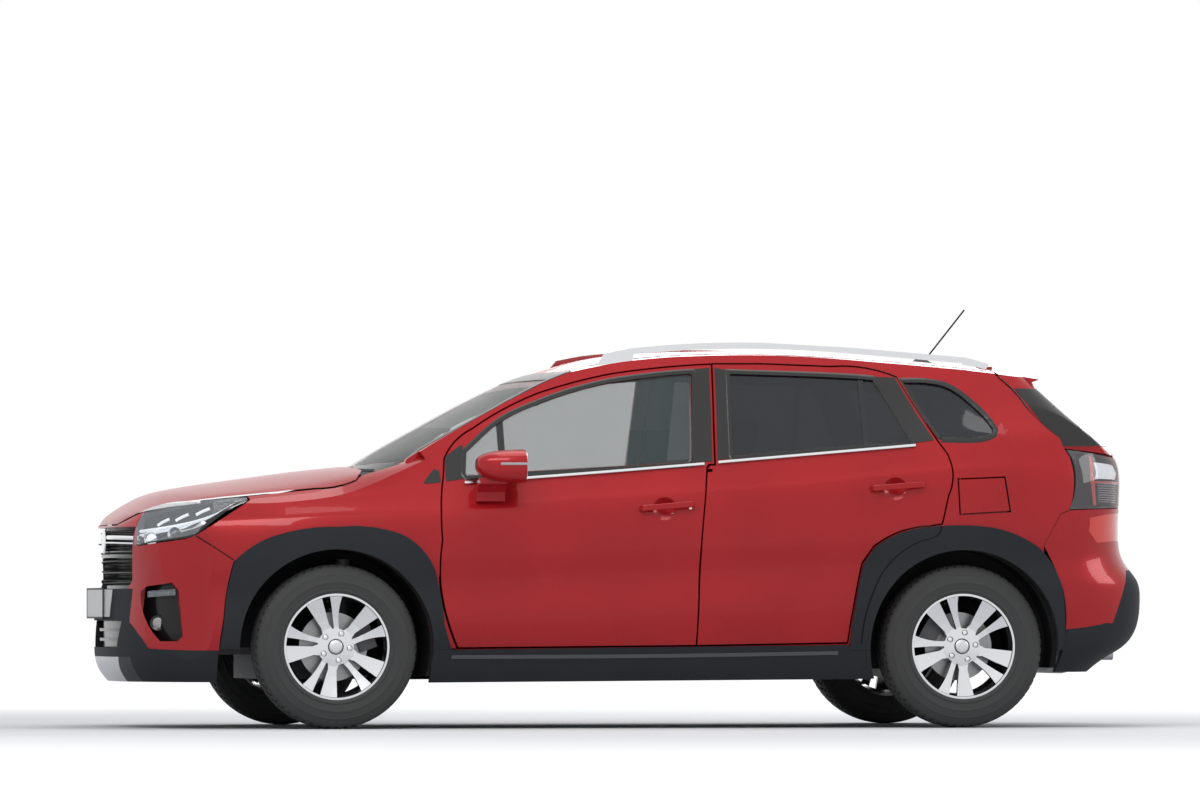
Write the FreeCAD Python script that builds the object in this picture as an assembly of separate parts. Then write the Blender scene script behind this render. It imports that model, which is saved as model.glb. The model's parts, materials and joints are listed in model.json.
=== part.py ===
import FreeCAD, Part
import math
import os

# Crossover car, family size. Millimetres. +X to the rear, +Y to the car's right, +Z up, ground at zero.
# Left side is modelled and mirrored. Outlines are points of the side view (x, z) unless a line says else.

os.makedirs("parts", exist_ok=True)
V = FreeCAD.Vector

# Driving dimensions
WHEELBASE = 2600.0
AXLE_F = -1250.0
AXLE_R = AXLE_F + WHEELBASE
AXLE_Z = 334.0
TRACK_F = 1535.0
TRACK_R = 1505.0
TYRE_R = 334.0
TYRE_W = 215.0
RIM_R = 216.0
LUG_PCD = 114.3
LUG_R = 7.0
KINGPIN_Y = 700.0
STEER_MAX = 32.0
FRAME_SHIFT = -30.0
SHUT_GAP = 7.0
STILL_GAP = 3.0
GLASS = 5.0
GLASS_DEPTH = 9.0
EDGE_FIT = 0.3
DOOR_DEPTH = 100.0
FRAME_DEPTH = 40.0
DOOR_AIR = 20.0
EDGE_STEP = 12.0
WALL_LOW = 150.0
WALL_HIGH = 92.0
ARCH_R = 395.0
HOUSE_Y = 470.0
BONNET_HALF = 752.0
NOSE_BASE = AXLE_F
TAIL_BASE = AXLE_R
HINGE_Y = 864.0
FRONT_HINGE_X = -740.0
REAR_HINGE_X = 330.0
SWING_Y = 814.0
SCOOP_R = 78.0
SCOOP_DEPTH = 18.0
PIPE_R = 25.0
PIPE_AIR = 8.0

# Feature lines of the side, height along the length
BELT = [(-1900, 905), (-1250, 950), (-728, 985), (290, 1068), (1148, 1145), (1900, 1192)]
CREASE = [(-1900, 830), (-1250, 868), (-800, 884), (-338, 923), (268, 966), (705, 992), (950, 1026),
          (1282, 1058), (1900, 1078)]
ROOF_EDGE = [(-500, 1400), (-213, 1467), (0, 1508), (267, 1530), (554, 1535), (918, 1518), (1413, 1478),
             (1700, 1440), (2300, 1340)]
ROOF_MID = [(-400, 1431), (-293, 1467), (-185, 1501), (-88, 1526), (0, 1540), (200, 1556), (500, 1562),
            (900, 1550), (1400, 1512), (1600, 1492), (1800, 1470), (2300, 1410)]
# Stations of the flank's net along the car, and its number of rows
SIDE_X = [-1850, -1790, -1700, -1600, -1450, -1250, -1050, -800, -400, 100, 600, 1000, 1350, 1500, 1650, 1760, 1850,
          1920]
ROWS = 20
# How far the nose and the tail reach at each height
NOSE = [(170, 2040), (215, 2085), (260, 2108), (300, 2115), (450, 2117), (585, 2100), (680, 2104), (785, 2109),
        (833, 2101), (870, 2086), (940, 2066), (1000, 2060)]
TAIL = [(220, 1950), (283, 2020), (313, 2100), (374, 2162), (447, 2186), (545, 2190), (600, 2182), (640, 2150),
        (690, 2108), (750, 2092), (850, 2092), (908, 2096), (1000, 2102), (1066, 2100), (1110, 2084),
        (1153, 2046), (1232, 1950), (1361, 1808), (1450, 1712), (1530, 1625)]
BONNET_MID = [(-2132, 730), (-2114, 785), (-2092, 832), (-2078, 854), (-2061, 870), (-2011, 908), (-1958, 940),
              (-1892, 971), (-1734, 998), (-1522, 1027), (-1311, 1057), (-1098, 1078), (-960, 1090), (-830, 1098),
              (-700, 1104)]
SCREEN_MID = [(980, -1235), (1040, -1125), (1098, -1021), (1162, -914), (1220, -808), (1279, -701), (1337, -594),
              (1390, -486), (1439, -379), (1467, -293), (1560, 0), (1650, 290)]


def interp(table, x):
    xs = [a for a, b in table]
    ys = [b for a, b in table]
    n = len(xs)
    if x <= xs[0]:
        return ys[0] + (ys[1] - ys[0]) / (xs[1] - xs[0]) * (x - xs[0])
    if x >= xs[-1]:
        return ys[-1] + (ys[-1] - ys[-2]) / (xs[-1] - xs[-2]) * (x - xs[-1])
    i = max(k for k in range(n - 1) if xs[k] <= x)
    h = xs[i + 1] - xs[i]
    s = (x - xs[i]) / h
    d = (ys[i + 1] - ys[i]) / h
    dl = (ys[i] - ys[i - 1]) / (xs[i] - xs[i - 1]) if i > 0 else d
    dr = (ys[i + 2] - ys[i + 1]) / (xs[i + 2] - xs[i + 1]) if i + 2 < n else d
    m0 = 0 if dl * d <= 0 else 2 * dl * d / (dl + d)
    m1 = 0 if dr * d <= 0 else 2 * dr * d / (dr + d)
    a = (2 * s ** 3 - 3 * s ** 2 + 1) * ys[i] + (s ** 3 - 2 * s ** 2 + s) * h * m0
    b = (-2 * s ** 3 + 3 * s ** 2) * ys[i + 1] + (s ** 3 - s ** 2) * h * m1
    return a + b


def side_rows(x):
    b = interp(BELT, x)
    c = interp(CREASE, x)
    r = interp(ROOF_EDGE, x)
    low = 0.042 * x
    t = min(max((-900 - x) / 200, 0), 1)
    top = [y + (800 - y) * t for y in (782, 706, 646, 606, 560)]
    return [(150, 800), (200, 826), (260, 848), (330, 864), (400 + low, 876), (505 + low, 882),
            (565 + low, 871), (630 + low, 868), (720 + low, 880), (790 + low, 880), (c - 58, 873), (c - 15, 862),
            (c + 2, 857), (c + 19, 845), (b - 6, 806), (b + 40, top[0]), (b + 0.5 * (r - b), top[1]), (b + 0.85 * (r - b), top[2]), (r + 20, top[3]),
            (r + 80, top[4])]


def reach(table, z):
    return interp(table, min(max(z, table[0][0]), table[-1][0]))


def tail_square(z):
    """How square the tail is seen from above: more so at the glass."""
    return 4.0 + 5.0 * min(max((z - 1080) / 200.0, 0), 1)


def plan(x, z):
    if x < NOSE_BASE:
        u = (NOSE_BASE - x) / (reach(NOSE, z) + NOSE_BASE)
        return max(1 - min(u, 1) ** 3.2, 0.0) ** 0.3835
    if x > TAIL_BASE:
        u = (x - TAIL_BASE) / (reach(TAIL, z) - TAIL_BASE)
        return (1 - min(u, 0.88) ** tail_square(z)) ** 0.208
    return 1.0


def half(x, z):
    return interp([(a, b) for a, b in side_rows(x)], z)


def skin(grid):
    """Smooth face drawn by a net of guide points, exact at the net's border."""
    nu = len(grid)
    nv = len(grid[0])
    s = Part.BSplineSurface()
    ku = list(range(nu - 2))
    kv = list(range(nv - 2))
    mu = [4] + [1] * (nu - 4) + [4]
    mv = [4] + [1] * (nv - 4) + [4]
    s.buildFromPolesMultsKnots(grid, mu, mv, ku, kv, False, False, 3, 3)
    return s.toShape()


def side_volume(depths):
    """Body volume inside the left flank set in by a depth for each row."""
    grid = []
    for x in SIDE_X:
        row = side_rows(x)
        grid.append([V(x, -(y * plan(x, z) - d), z) for (z, y), d in zip(row, depths)])
    return skin(grid).extrude(V(0, 1900, 0))


def even(d):
    return [d] * ROWS


def split(low, high):
    return [low] * (ROWS - 5) + [high] * 5


def plan_curve(p, q):
    """Evenly spaced points round the end of the car as (lengthwise, sideways) shares."""
    curve = []
    for k in range(401):
        f = math.sin(math.pi / 2 * k / 400)
        curve.append(((1 - f ** (1 / q)) ** (1 / p), f))
    curve = [c for c in curve if c[0] > 0.3]
    length = [0.0]
    for a, b in zip(curve, curve[1:]):
        length.append(length[-1] + math.hypot(a[0] - b[0], a[1] - b[1]))
    quarter = []
    for k in range(14):
        i = min(range(len(curve)), key=lambda n: abs(length[n] - length[-1] * k / 13))
        quarter.append(curve[i])
    return [(u, -f) for u, f in reversed(quarter[1:])] + quarter


def wrap_volume(rear, inset, zs):
    """Body volume behind the nose, or ahead of the tail, set in by a distance."""
    table = TAIL if rear else NOSE
    base = TAIL_BASE if rear else NOSE_BASE
    q = 0.208 if rear else 0.3835
    sign = 1 if rear else -1
    grid = []
    for z in zs:
        p = tail_square(z) if rear else 3.2
        far = reach(table, z) - sign * base - inset
        row = []
        for u, f in plan_curve(p, q):
            x = base + sign * far * u
            row.append(V(x, (half(x, z) - inset) * f, z))
        grid.append(row)
    return skin(grid).extrude(V(-sign * 1500, 0, 0))


def outline_wire(points):
    """Closed outline whose gentle bends are arcs through three points and whose corners stay sharp."""
    n = len(points)
    spans = [points[(i + 1) % n] - points[i] for i in range(n)]
    bends = [math.degrees(spans[i - 1].getAngle(spans[i])) for i in range(n)]
    start = max(range(n), key=lambda i: bends[i])
    edges = []
    i = start
    while i < start + n:
        j = (i + 1) % n
        share = spans[i % n].Length / spans[j].Length
        if 2.5 < bends[j] < 24 and 0.4 < share < 2.5 and i + 2 <= start + n:
            edges.append(Part.Arc(points[i % n], points[j], points[(i + 2) % n]).toShape())
            i += 2
        else:
            edges.append(Part.makeLine(points[i % n], points[j]))
            i += 1
    return Part.Wire(edges)


def poly(points, d=0):
    """Flat face, grown by a distance or shrunk for a minus sign."""
    wire = outline_wire(points)
    if d:
        try:
            wire = wire.makeOffset2D(d, 2)
        except Exception:
            wire = wire.makeOffset2D(d, 0)
    return Part.Face(wire)


def prism(outline, y0=-1100.0, y1=0.0, d=0):
    return poly([V(x, y0, z) for x, z in outline], d).extrude(V(0, y1 - y0, 0))


def prism_x(outline, x0, x1):
    return poly([V(x0, y, z) for y, z in outline]).extrude(V(x1 - x0, 0, 0))


def prism_z(outline, z0, z1):
    return poly([V(x, y, z0) for x, y in outline]).extrude(V(0, 0, z1 - z0))


def box(x0, x1, y0, y1, z0, z1):
    return Part.makeBox(x1 - x0, y1 - y0, z1 - z0, V(x0, y0, z0))


def rod_y(x, z, r, y0, y1):
    return Part.makeCylinder(r, y1 - y0, V(x, y0, z), V(0, 1, 0))


def rod_z(x, y, r, z0, z1):
    return Part.makeCylinder(r, z1 - z0, V(x, y, z0))


def mirror(shape):
    return shape.mirror(V(0, 0, 0), V(0, 1, 0))


def both(shape):
    return [shape, mirror(shape)]


def solids(shape):
    return [s for s in shape.Solids if s.Volume > 20]


def export(name, shapes):
    items = shapes if isinstance(shapes, (list, tuple)) else [shapes]
    found = []
    for item in items:
        found += solids(item)
    whole = found[0] if len(found) == 1 else Part.makeCompound(found)
    whole = whole.copy()
    whole.translate(V(FRAME_SHIFT, 0, 0))
    whole.exportStep("parts/" + name + ".step")
    bad = [s for s in found if not s.isValid()]
    print(name, len(found), "solids", "%.1f l" % (sum(s.Volume for s in found) / 1e6), "bad" if bad else "")


# Side view outlines, left side
FRONT_DOOR = [(-751, 332), (229, 341), (237, 531), (247, 742), (268, 952), (285, 1068), (296, 1081), (318, 1081),
              (329, 1307), (336, 1490), (121, 1474), (-80, 1448), (-237, 1412), (-380, 1369), (-523, 1305),
              (-665, 1220), (-744, 1163), (-788, 1100), (-798, 1020), (-815, 908), (-815, 767), (-824, 640)]
REAR_DOOR = [(236, 341), (858, 352), (882, 508), (918, 677), (966, 746), (1066, 803), (1197, 830), (1252, 838),
             (1280, 955), (1300, 1054), (1285, 1125), (1249, 1181), (1163, 1337), (1110, 1440), (1029, 1467),
             (841, 1482), (552, 1492), (344, 1491), (337, 1307), (326, 1073), (302, 1073), (292, 1062),
             (275, 952), (254, 742), (244, 531)]
FRONT_GLASS = [(-707, 1022), (-718, 1036), (-707, 1130), (-547, 1262), (-391, 1333), (-248, 1383), (-105, 1419),
               (38, 1441), (253, 1462), (262, 1462), (240, 1092), (228, 1078)]
REAR_GLASS = [(400, 1104), (392, 1112), (404, 1462), (947, 1443), (1016, 1437), (1090, 1300), (1152, 1172),
              (1146, 1162), (947, 1150)]
QUARTER_GLASS = [(1262, 1182), (1180, 1330), (1136, 1428), (1234, 1427), (1321, 1409), (1407, 1349), (1475, 1275),
                 (1502, 1228), (1495, 1204), (1456, 1188)]
SHUT_BONNET = [(-2100, 846), (-1996, 884), (-1840, 922), (-1694, 940), (-1527, 956), (-1317, 977), (-1212, 990),
               (-1150, 1012)]
HEADLAMP = [(-2140, 722), (-2097, 730), (-1987, 754), (-1852, 775), (-1815, 785), (-1768, 853), (-1716, 879),
            (-1621, 915), (-1604, 930), (-1600, 944), (-1694, 934), (-1840, 916), (-1996, 878), (-2074, 829),
            (-2140, 829)]
FRONT_ARCH = [(-1722, 325), (-1706, 448), (-1691, 572), (-1665, 680), (-1613, 727), (-1519, 778), (-1394, 810),
              (-1238, 820), (-1081, 815), (-987, 790), (-903, 728), (-850, 645), (-830, 560), (-812, 420),
              (-780, 318)]
REAR_ARCH = [(868, 318), (872, 358), (891, 508), (927, 675), (976, 742), (1075, 796), (1197, 822), (1345, 830),
             (1468, 820), (1566, 791), (1665, 736), (1726, 658), (1763, 556), (1775, 405), (1775, 318)]
TAIL_LAMP = [(1795, 1143), (1900, 1130), (2006, 1114), (2160, 1100), (2160, 905), (2037, 905), (1794, 897),
             (1826, 1028), (1813, 1113)]
REFLECTOR = [(1890, 862), (2001, 880), (2140, 880), (2140, 768), (2007, 766), (1926, 760), (1885, 806)]

# Body volumes
outer = side_volume(even(0))
under_glass = side_volume(even(GLASS_DEPTH))
glass_back = side_volume(even(GLASS_DEPTH + GLASS))
door_back = side_volume(split(DOOR_DEPTH, FRAME_DEPTH))
pocket_back = side_volume(split(DOOR_DEPTH + DOOR_AIR, FRAME_DEPTH + DOOR_AIR))
wall_back = side_volume(split(WALL_LOW, WALL_HIGH))
wing_back = side_volume(even(30))
NOSE_Z = [170, 215, 260, 300, 370, 450, 520, 585, 640, 680, 730, 785, 833, 870, 940, 1020, 1120]
TAIL_Z = [220, 283, 313, 374, 447, 545, 600, 640, 690, 750, 850, 908, 1000, 1066, 1110, 1153, 1232, 1361, 1450, 1530]
nose = wrap_volume(False, 0, NOSE_Z)
nose_back = wrap_volume(False, 40, NOSE_Z)
tail = wrap_volume(True, 0, TAIL_Z)
tail_back = wrap_volume(True, 45, TAIL_Z)


def nose_shift(y):
    f = min(abs(y) / 850, 0.95)
    return 850 * (1 - (1 - f ** 2.61) ** 0.3125)


def bonnet_skin(lower):
    """Body volume under the bonnet's top, which comes down to its shut line at the sides."""
    lip = BONNET_MID[2]
    lip_rise = interp(SHUT_BONNET, lip[0] + nose_shift(BONNET_HALF)) - lip[1]
    grid = []
    for x, z in BONNET_MID:
        w = max(1 - (x - lip[0]) / 1150.0, 0)
        if x < lip[0]:
            rise = lip_rise
        else:
            rise = interp(SHUT_BONNET, x + w * nose_shift(BONNET_HALF)) - z
        row = []
        for k in range(-10, 11):
            y = 91.0 * k
            t = min(abs(y) / BONNET_HALF, 1)
            over = max(abs(y) - BONNET_HALF, 0)
            row.append(V(x + w * nose_shift(y), y, z + rise * t ** 2.4 - 0.6 * over - lower))
        grid.append(row)
    return skin(grid).extrude(V(0, 0, -1200))


def roof_skin(lower):
    grid = []
    for x, zm in ROOF_MID:
        ze = interp(ROOF_EDGE, x)
        row = []
        for k in range(-9, 10):
            y = 78.0 * k
            row.append(V(x, y, zm - (zm - ze) * (abs(y) / 600) ** 2.5 - lower))
        grid.append(row)
    return skin(grid).extrude(V(0, 0, -1200))


def screen_skin(back):
    grid = []
    for z, x in SCREEN_MID:
        sweep = 80 + 1.3 * max(0, 1100 - z)
        grid.append([V(x + back + sweep * (abs(84 * k) / 660) ** 2.2, 84.0 * k, z) for k in range(-10, 11)])
    return skin(grid).extrude(V(2600, 0, 0))


def hinge_heights(x):
    """The two heights where the flank is widest."""
    return [505 + 0.042 * x, 722 + 0.042 * x]


def hinge_room(x, ahead):
    """Notch in the door's front edge for a fixed hinge leaf, with the door's pin left in it."""
    room = None
    for z in hinge_heights(x):
        cut = box(x - ahead, x + 13, -HINGE_Y - 7.5, -600, z - 13, z + 13)
        cut = cut.cut(rod_z(x, -HINGE_Y, 3, z - 20, z + 20))
        room = cut if room is None else room.fuse(cut)
    return room


def hinge_leaves(x, ahead):
    leaves = []
    for z in hinge_heights(x):
        leaf = rod_z(x, -HINGE_Y, 6.5, z - 8, z + 8).fuse(box(x - 6, x + 6, -HINGE_Y, -748, z - 8, z + 8))
        leaf = leaf.fuse(box(x - ahead, x + 6, -760, -742, z - 8, z + 8))
        leaves.append(leaf.cut(rod_z(x, -HINGE_Y, 3.6, z - 20, z + 20)))
    return leaves


# Doors, their glass and the mirrors
def door(outline, window, edge):
    leaf = prism(outline).common(outer).cut(door_back)
    strip = prism([(x + 3, z) for x, z in edge] + [(x - EDGE_STEP, z) for x, z in reversed(edge)])
    leaf = leaf.cut(strip.common(side_volume(even(8))))
    leaf = leaf.cut(prism(window, d=-12))
    leaf = leaf.cut(prism(window, d=EDGE_FIT).cut(glass_back))
    pane = prism(window).common(under_glass).cut(glass_back)
    return leaf, pane


FRONT_EDGE = [(229, 335), (229, 341), (237, 531), (247, 742), (268, 952), (285, 1068), (296, 1081), (318, 1081),
              (329, 1307), (336, 1495)]
REAR_EDGE = [(1197, 826), (1252, 838), (1280, 955), (1300, 1054), (1285, 1125), (1249, 1181), (1163, 1337),
             (1110, 1440), (1029, 1467)]
front_door, front_pane = door(FRONT_DOOR, FRONT_GLASS, FRONT_EDGE)
rear_door, rear_pane = door(REAR_DOOR, REAR_GLASS, REAR_EDGE)
front_door = front_door.cut(hinge_room(FRONT_HINGE_X, 100))
rear_door = rear_door.cut(hinge_room(REAR_HINGE_X, 100))
rear_door = rear_door.cut(box(200, REAR_HINGE_X - 20, -SWING_Y, -600, 300, 1060))


def flank(x, z):
    """Sideways place of the left flank's face."""
    return Part.makeLine(V(x, -1100, z), V(x, -300, z)).common(outer).BoundBox.YMin


def with_handle(leaf, x, z):
    """Door with a round scoop and a pull bar across it."""
    y = flank(x, z)
    leaf = leaf.cut(Part.makeSphere(SCOOP_R, V(x - 8, y - SCOOP_R + SCOOP_DEPTH, z)))
    bar = [(-112, 14), (-112, -16), (-104, -29), (-60, -37), (60, -37), (104, -30), (114, -16), (114, 14), (92, 14),
           (88, -16), (55, -24), (-55, -24), (-84, -16), (-88, 14)]
    bar = prism_z([(x + a, y + b) for a, b in bar], z - 12, z + 12)
    bar = bar.makeFillet(3.5, bar.Edges)
    bar.rotate(V(x, y, z), V(0, 1, 0), -4.5)
    return leaf.fuse(bar)


front_door = with_handle(front_door, 107, 906)
lock_y = flank(236, 897)
front_door = front_door.fuse(rod_y(236, 897, 8, lock_y - 2, lock_y + 20))
rear_door = with_handle(rear_door, 1068, 989)
for name, leaf, pane in (("front_door", front_door, front_pane), ("rear_door", rear_door, rear_pane)):
    leaf = max(leaf.Solids, key=lambda k: k.Volume)
    export(name + "_left", leaf)
    export(name + "_glass_left", pane)
    export(name + "_right", mirror(leaf))
    export(name + "_glass_right", mirror(pane))

# Door mirrors: a rounded shell over a slanted arm
MIRROR_PROFILE = [(-690, 0.30), (-680, 0.50), (-655, 0.72), (-610, 0.90), (-550, 0.99), (-496, 1.0)]
rings = []
for x, share in MIRROR_PROFILE:
    loop = []
    for k in range(16):
        a = math.radians(22.5 * k)
        c = math.copysign(abs(math.cos(a)) ** 0.7, math.cos(a))
        d = math.copysign(abs(math.sin(a)) ** 0.7, math.sin(a))
        loop.append(V(x, -938 + 97 * share * c, 1066 + 8 * (1 - share) + 68 * share * d))
    curve = Part.BSplineCurve()
    curve.interpolate(Points=loop, PeriodicFlag=True)
    rings.append(Part.Wire([curve.toShape()]))
mirror_head = Part.makeLoft(rings, True)
mirror_foot = prism_x([(-800, 925), (-800, 985), (-866, 1000), (-900, 1020), (-950, 1020), (-950, 996), (-900, 985),
                       (-872, 962), (-862, 925)], -676, -560).cut(outer)
mirror_unit = mirror_head.fuse(mirror_foot)
mirror_unit = max(mirror_unit.Solids, key=lambda k: k.Volume)
export("mirror_left", mirror_unit)
export("mirror_right", mirror(mirror_unit))

# Body sides: pillars, roof sides, rear quarters and inner sills
SIDE_WALL = [(-960, 215), (-960, 1040), (-941, 1098), (-834, 1162), (-728, 1220), (-621, 1279), (-514, 1337),
             (-406, 1390), (-299, 1439), (-213, 1464), (0, 1504), (267, 1526), (554, 1531), (918, 1514),
             (1413, 1474), (1540, 1450), (1590, 1400), (1640, 1330), (1700, 1250), (1770, 1190), (1786, 1143),
             (1804, 1113), (1817, 1028), (1794, 893), (1757, 880), (1684, 748), (1700, 215)]
FLAP = [(1333, 878), (1537, 890), (1517, 1025), (1327, 1017)]
SILL = [(-862, 321), (868, 340), (868, 317), (990, 317), (990, 202), (868, 200), (-862, 188)]
CLAD_IN = 26
SILL_IN = 38
WING = [(-1814, 785), (-1590, 930), (-1597, 944), (-1527, 952), (-1317, 973), (-1212, 986), (-1150, 1008),
        (-1118, 1036), (-1060, 1072), (-990, 1092), (-941, 1103), (-892, 1132), (-845, 1060), (-790, 1040),
        (-700, 900), (-700, 325), (-900, 325), (-1250, 560), (-1668, 684)]


def outside(outline, depth, d=EDGE_FIT):
    """The space that a flush piece of this outline takes, down to a depth."""
    return prism(outline, d=d).cut(side_volume(even(depth + d)))


arch_room = [outside(FRONT_ARCH, CLAD_IN), outside(REAR_ARCH, CLAD_IN)]
sill_room = outside(SILL, SILL_IN)
wall = prism(SIDE_WALL).common(outer).cut(wall_back)
for outline in (FRONT_DOOR, REAR_DOOR):
    wall = wall.cut(prism(outline, d=SHUT_GAP).cut(pocket_back))
    wall = wall.cut(prism(outline, d=-34))
wall = wall.cut(prism(WING, d=EDGE_FIT).cut(pocket_back))
wall = wall.cut(box(-1000, -760, -1000, 0, 200, 640).cut(pocket_back))
wall = wall.cut(prism(QUARTER_GLASS, d=-12))
wall = wall.cut(prism(QUARTER_GLASS, d=EDGE_FIT).cut(glass_back))
wall = wall.cut(rod_y(AXLE_R, AXLE_Z, ARCH_R + 6, -1100, -HOUSE_Y))
wall = wall.cut(rod_y(AXLE_F, AXLE_Z, ARCH_R + 6, -1100, -HOUSE_Y))
wall = wall.cut(arch_room[1]).cut(sill_room).cut(prism(TAIL_LAMP, d=EDGE_FIT).cut(side_volume(even(60))))
for leaf in hinge_leaves(FRONT_HINGE_X, 65) + hinge_leaves(REAR_HINGE_X, 80):
    wall = wall.fuse(leaf)
wall = max(wall.Solids, key=lambda k: k.Volume)
pane = prism(QUARTER_GLASS).common(under_glass).cut(glass_back)
flap_pocket = prism(FLAP, d=6.5).cut(side_volume(even(40)))
walls = [wall, mirror(wall)]
FLAP_FOOT = V(1340, flank(1340, 879) + 4.5, 879)
FLAP_TOP = V(1334, flank(1334, 1017) + 4.5, 1017)
print("fuel flap axis from", FLAP_FOOT, "to", FLAP_TOP)
flap_line = FLAP_TOP - FLAP_FOOT
flap_line.normalize()
left_wall = wall.cut(flap_pocket)
flap = prism(FLAP).common(outer).cut(side_volume(even(9)))
for end, way in ((FLAP_FOOT, 1), (FLAP_TOP, -1)):
    left_wall = left_wall.fuse(Part.makeCylinder(2, 20, end - flap_line * 15 * way, flap_line * way))
    flap = flap.cut(Part.makeCylinder(2.6, 20, end - flap_line * 12 * way, flap_line * way))
export("body_side_left", max(left_wall.Solids, key=lambda k: k.Volume))
export("body_side_right", walls[1])
export("quarter_glass", both(pane))
export("fuel_flap", max(flap.Solids, key=lambda k: k.Volume))

# Bonnet, with side lips down to the shut line
bonnet_top = bonnet_skin(0)
REAR_ARC = [(-1125 + 25 * (y / 700.0) ** 2, y) for y in range(-900, 901, 100)]
LID = [(x, z + 3.5) for x, z in SHUT_BONNET[1:]] + [(-1138, 1030), (-1050, 1100), (-1050, 1200), (-2300, 1200),
                                              (-2300, 835), (-2076, 835)]
hood = bonnet_top.common(prism(LID, -1000, 1000)).common(nose)
hood = hood.common(prism_z([(-2300, -900)] + REAR_ARC + [(-2300, 900)], 700, 1200))
hood = hood.cut(bonnet_skin(22).common(box(-2045, -900, -900, 900, 700, 1200)))
HOOD_AXIS = (-1040.0, 1000.0)
HOOD_ARM = [(-1200, 985), (-1200, 1012), (-1140, 1030), (-1105, 1012), (-1040, 1014), (-1040, 986), (-1060, 986)]
arm = prism(HOOD_ARM, -690, -676).common(bonnet_skin(4))
arm = arm.fuse(rod_y(HOOD_AXIS[0], HOOD_AXIS[1], 14, -690, -676))
arm = arm.cut(rod_y(HOOD_AXIS[0], HOOD_AXIS[1], 6.6, -700, -660))
hood = hood.fuse(arm).fuse(mirror(arm))
hood = max(hood.Solids, key=lambda k: k.Volume)
export("bonnet", hood)

# Headlamps
LAMP_Y = 509.0
lamp_zone = nose.cut(nose_back)
lamp_prism = prism(HEADLAMP, -1000, -LAMP_Y)
lamp = lamp_prism.common(lamp_zone).common(bonnet_top)
lamp_room = prism(HEADLAMP, -1000, -LAMP_Y + EDGE_FIT, d=EDGE_FIT)

# Front bumper with grille, fog pockets and skid lip
BUMPER = [(-2300, 829), (-2300, 190), (-1728, 190), (-1725, 325), (-1709, 448), (-1694, 572), (-1668, 684),
          (-1814, 785), (-1852, 771), (-1987, 750), (-2020, 743), (-2020, 829)]
shell = prism(BUMPER, -1000, 1000).common(lamp_zone).common(bonnet_top)
FOG = [(-2010, 560), (-1990, 580), (-1900, 594), (-1877, 562), (-1861, 376), (-1880, 356), (-1945, 356),
       (-1998, 448)]
MOUTH = [(-505, 822), (-485, 600), (-440, 570), (440, 570), (485, 600), (505, 822)]
LOW_MOUTH = [(-420, 440), (-360, 330), (360, 330), (420, 440)]
DARK_FRONT = [(-2300, 484), (-2147, 479), (-2064, 459), (-1985, 326), (-1860, 320), (-1700, 320), (-1700, 186),
              (-2300, 186)]
mouth = prism_x(MOUTH, -2300, -1900)
low_mouth = prism_x(LOW_MOUTH, -2300, -1900)
fog = prism(FOG, -1000, -500)
lip_room = box(-2300, -1900, -480, 480, 180, 292)


def dark_front(d):
    """Space of the nose's black lower part, with its band behind the plate."""
    return prism(DARK_FRONT, -1000, 1000, d=d).fuse(box(-2300, -1850, -490 - d, 490 + d, 400, 570 + d))


bumper = shell.cut(mouth).cut(dark_front(EDGE_FIT)).cut(fog).cut(mirror(fog))
bumper = bumper.cut(lamp_room).cut(mirror(lamp_room)).cut(arch_room[0]).cut(mirror(arch_room[0]))
bumper = max(bumper.Solids, key=lambda k: k.Volume)
export("front_bumper", bumper)
low_front = shell.common(dark_front(0)).cut(mouth).cut(low_mouth).cut(lip_room).cut(fog).cut(mirror(fog))
low_front = low_front.cut(arch_room[0]).cut(mirror(arch_room[0]))
low_front = max(low_front.Solids, key=lambda k: k.Volume)
mesh = nose_back.cut(wrap_volume(False, 52, NOSE_Z))
grille = mesh.common(prism_x([(y * 1.03, z) for y, z in MOUTH], -2300, -1900)).common(
    box(-2300, -1900, -900, 900, 530, 829))
slat_zone = wrap_volume(False, 24, NOSE_Z).cut(nose_back).common(mouth)
for k in range(6):
    z = 600 + 40 * k
    grille = grille.fuse(slat_zone.common(box(-2300, -1900, -600, 600, z - 5, z + 5)))
low_grille = mesh.common(box(-2300, -1900, -450, 450, 315, 455))
for z in (362, 402):
    low_grille = low_grille.fuse(wrap_volume(False, 24, NOSE_Z).cut(nose_back).common(low_mouth).common(
        box(-2300, -1900, -600, 600, z - 6, z + 6)))
fog_cover = mesh.common(prism(FOG, -1000, -500, d=10))
export("grilles", [grille, low_grille] + both(fog_cover))
export("skid_lip", shell.common(box(-2300, -1900, -480 + EDGE_FIT, 480 - EDGE_FIT, 180, 292 - EDGE_FIT)))
plate = box(-2131, -2060, -260, 260, 455, 567).cut(wrap_volume(False, -EDGE_FIT, NOSE_Z))
export("front_plate", min(plate.Solids, key=lambda k: k.BoundBox.XMin))
fog_lamp = prism([(-1985, 535), (-1985, 560), (-1890, 568), (-1890, 543)], -760, -560).common(nose).cut(nose_back)
export("front_lamps", both(lamp) + both(fog_lamp))

# Front wings
wing = prism(WING).common(outer).common(bonnet_top).cut(wing_back.common(bonnet_skin(14)))
wing = wing.cut(box(-1400, -960, -697, 0, 900, 1200))
wing = wing.cut(lamp_room).cut(arch_room[0]).cut(rod_y(AXLE_F, AXLE_Z, ARCH_R, -1100, 0)).cut(sill_room)
wing = wing.cut(prism(FRONT_DOOR, d=SHUT_GAP)).cut(prism(FRONT_DOOR, d=10).common(box(-900, -600, -1000, 0, 300, 620)))
wing = wing.cut(walls[0])
wing = max(wing.Solids, key=lambda k: k.Volume)
export("front_wings", both(wing))

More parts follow.
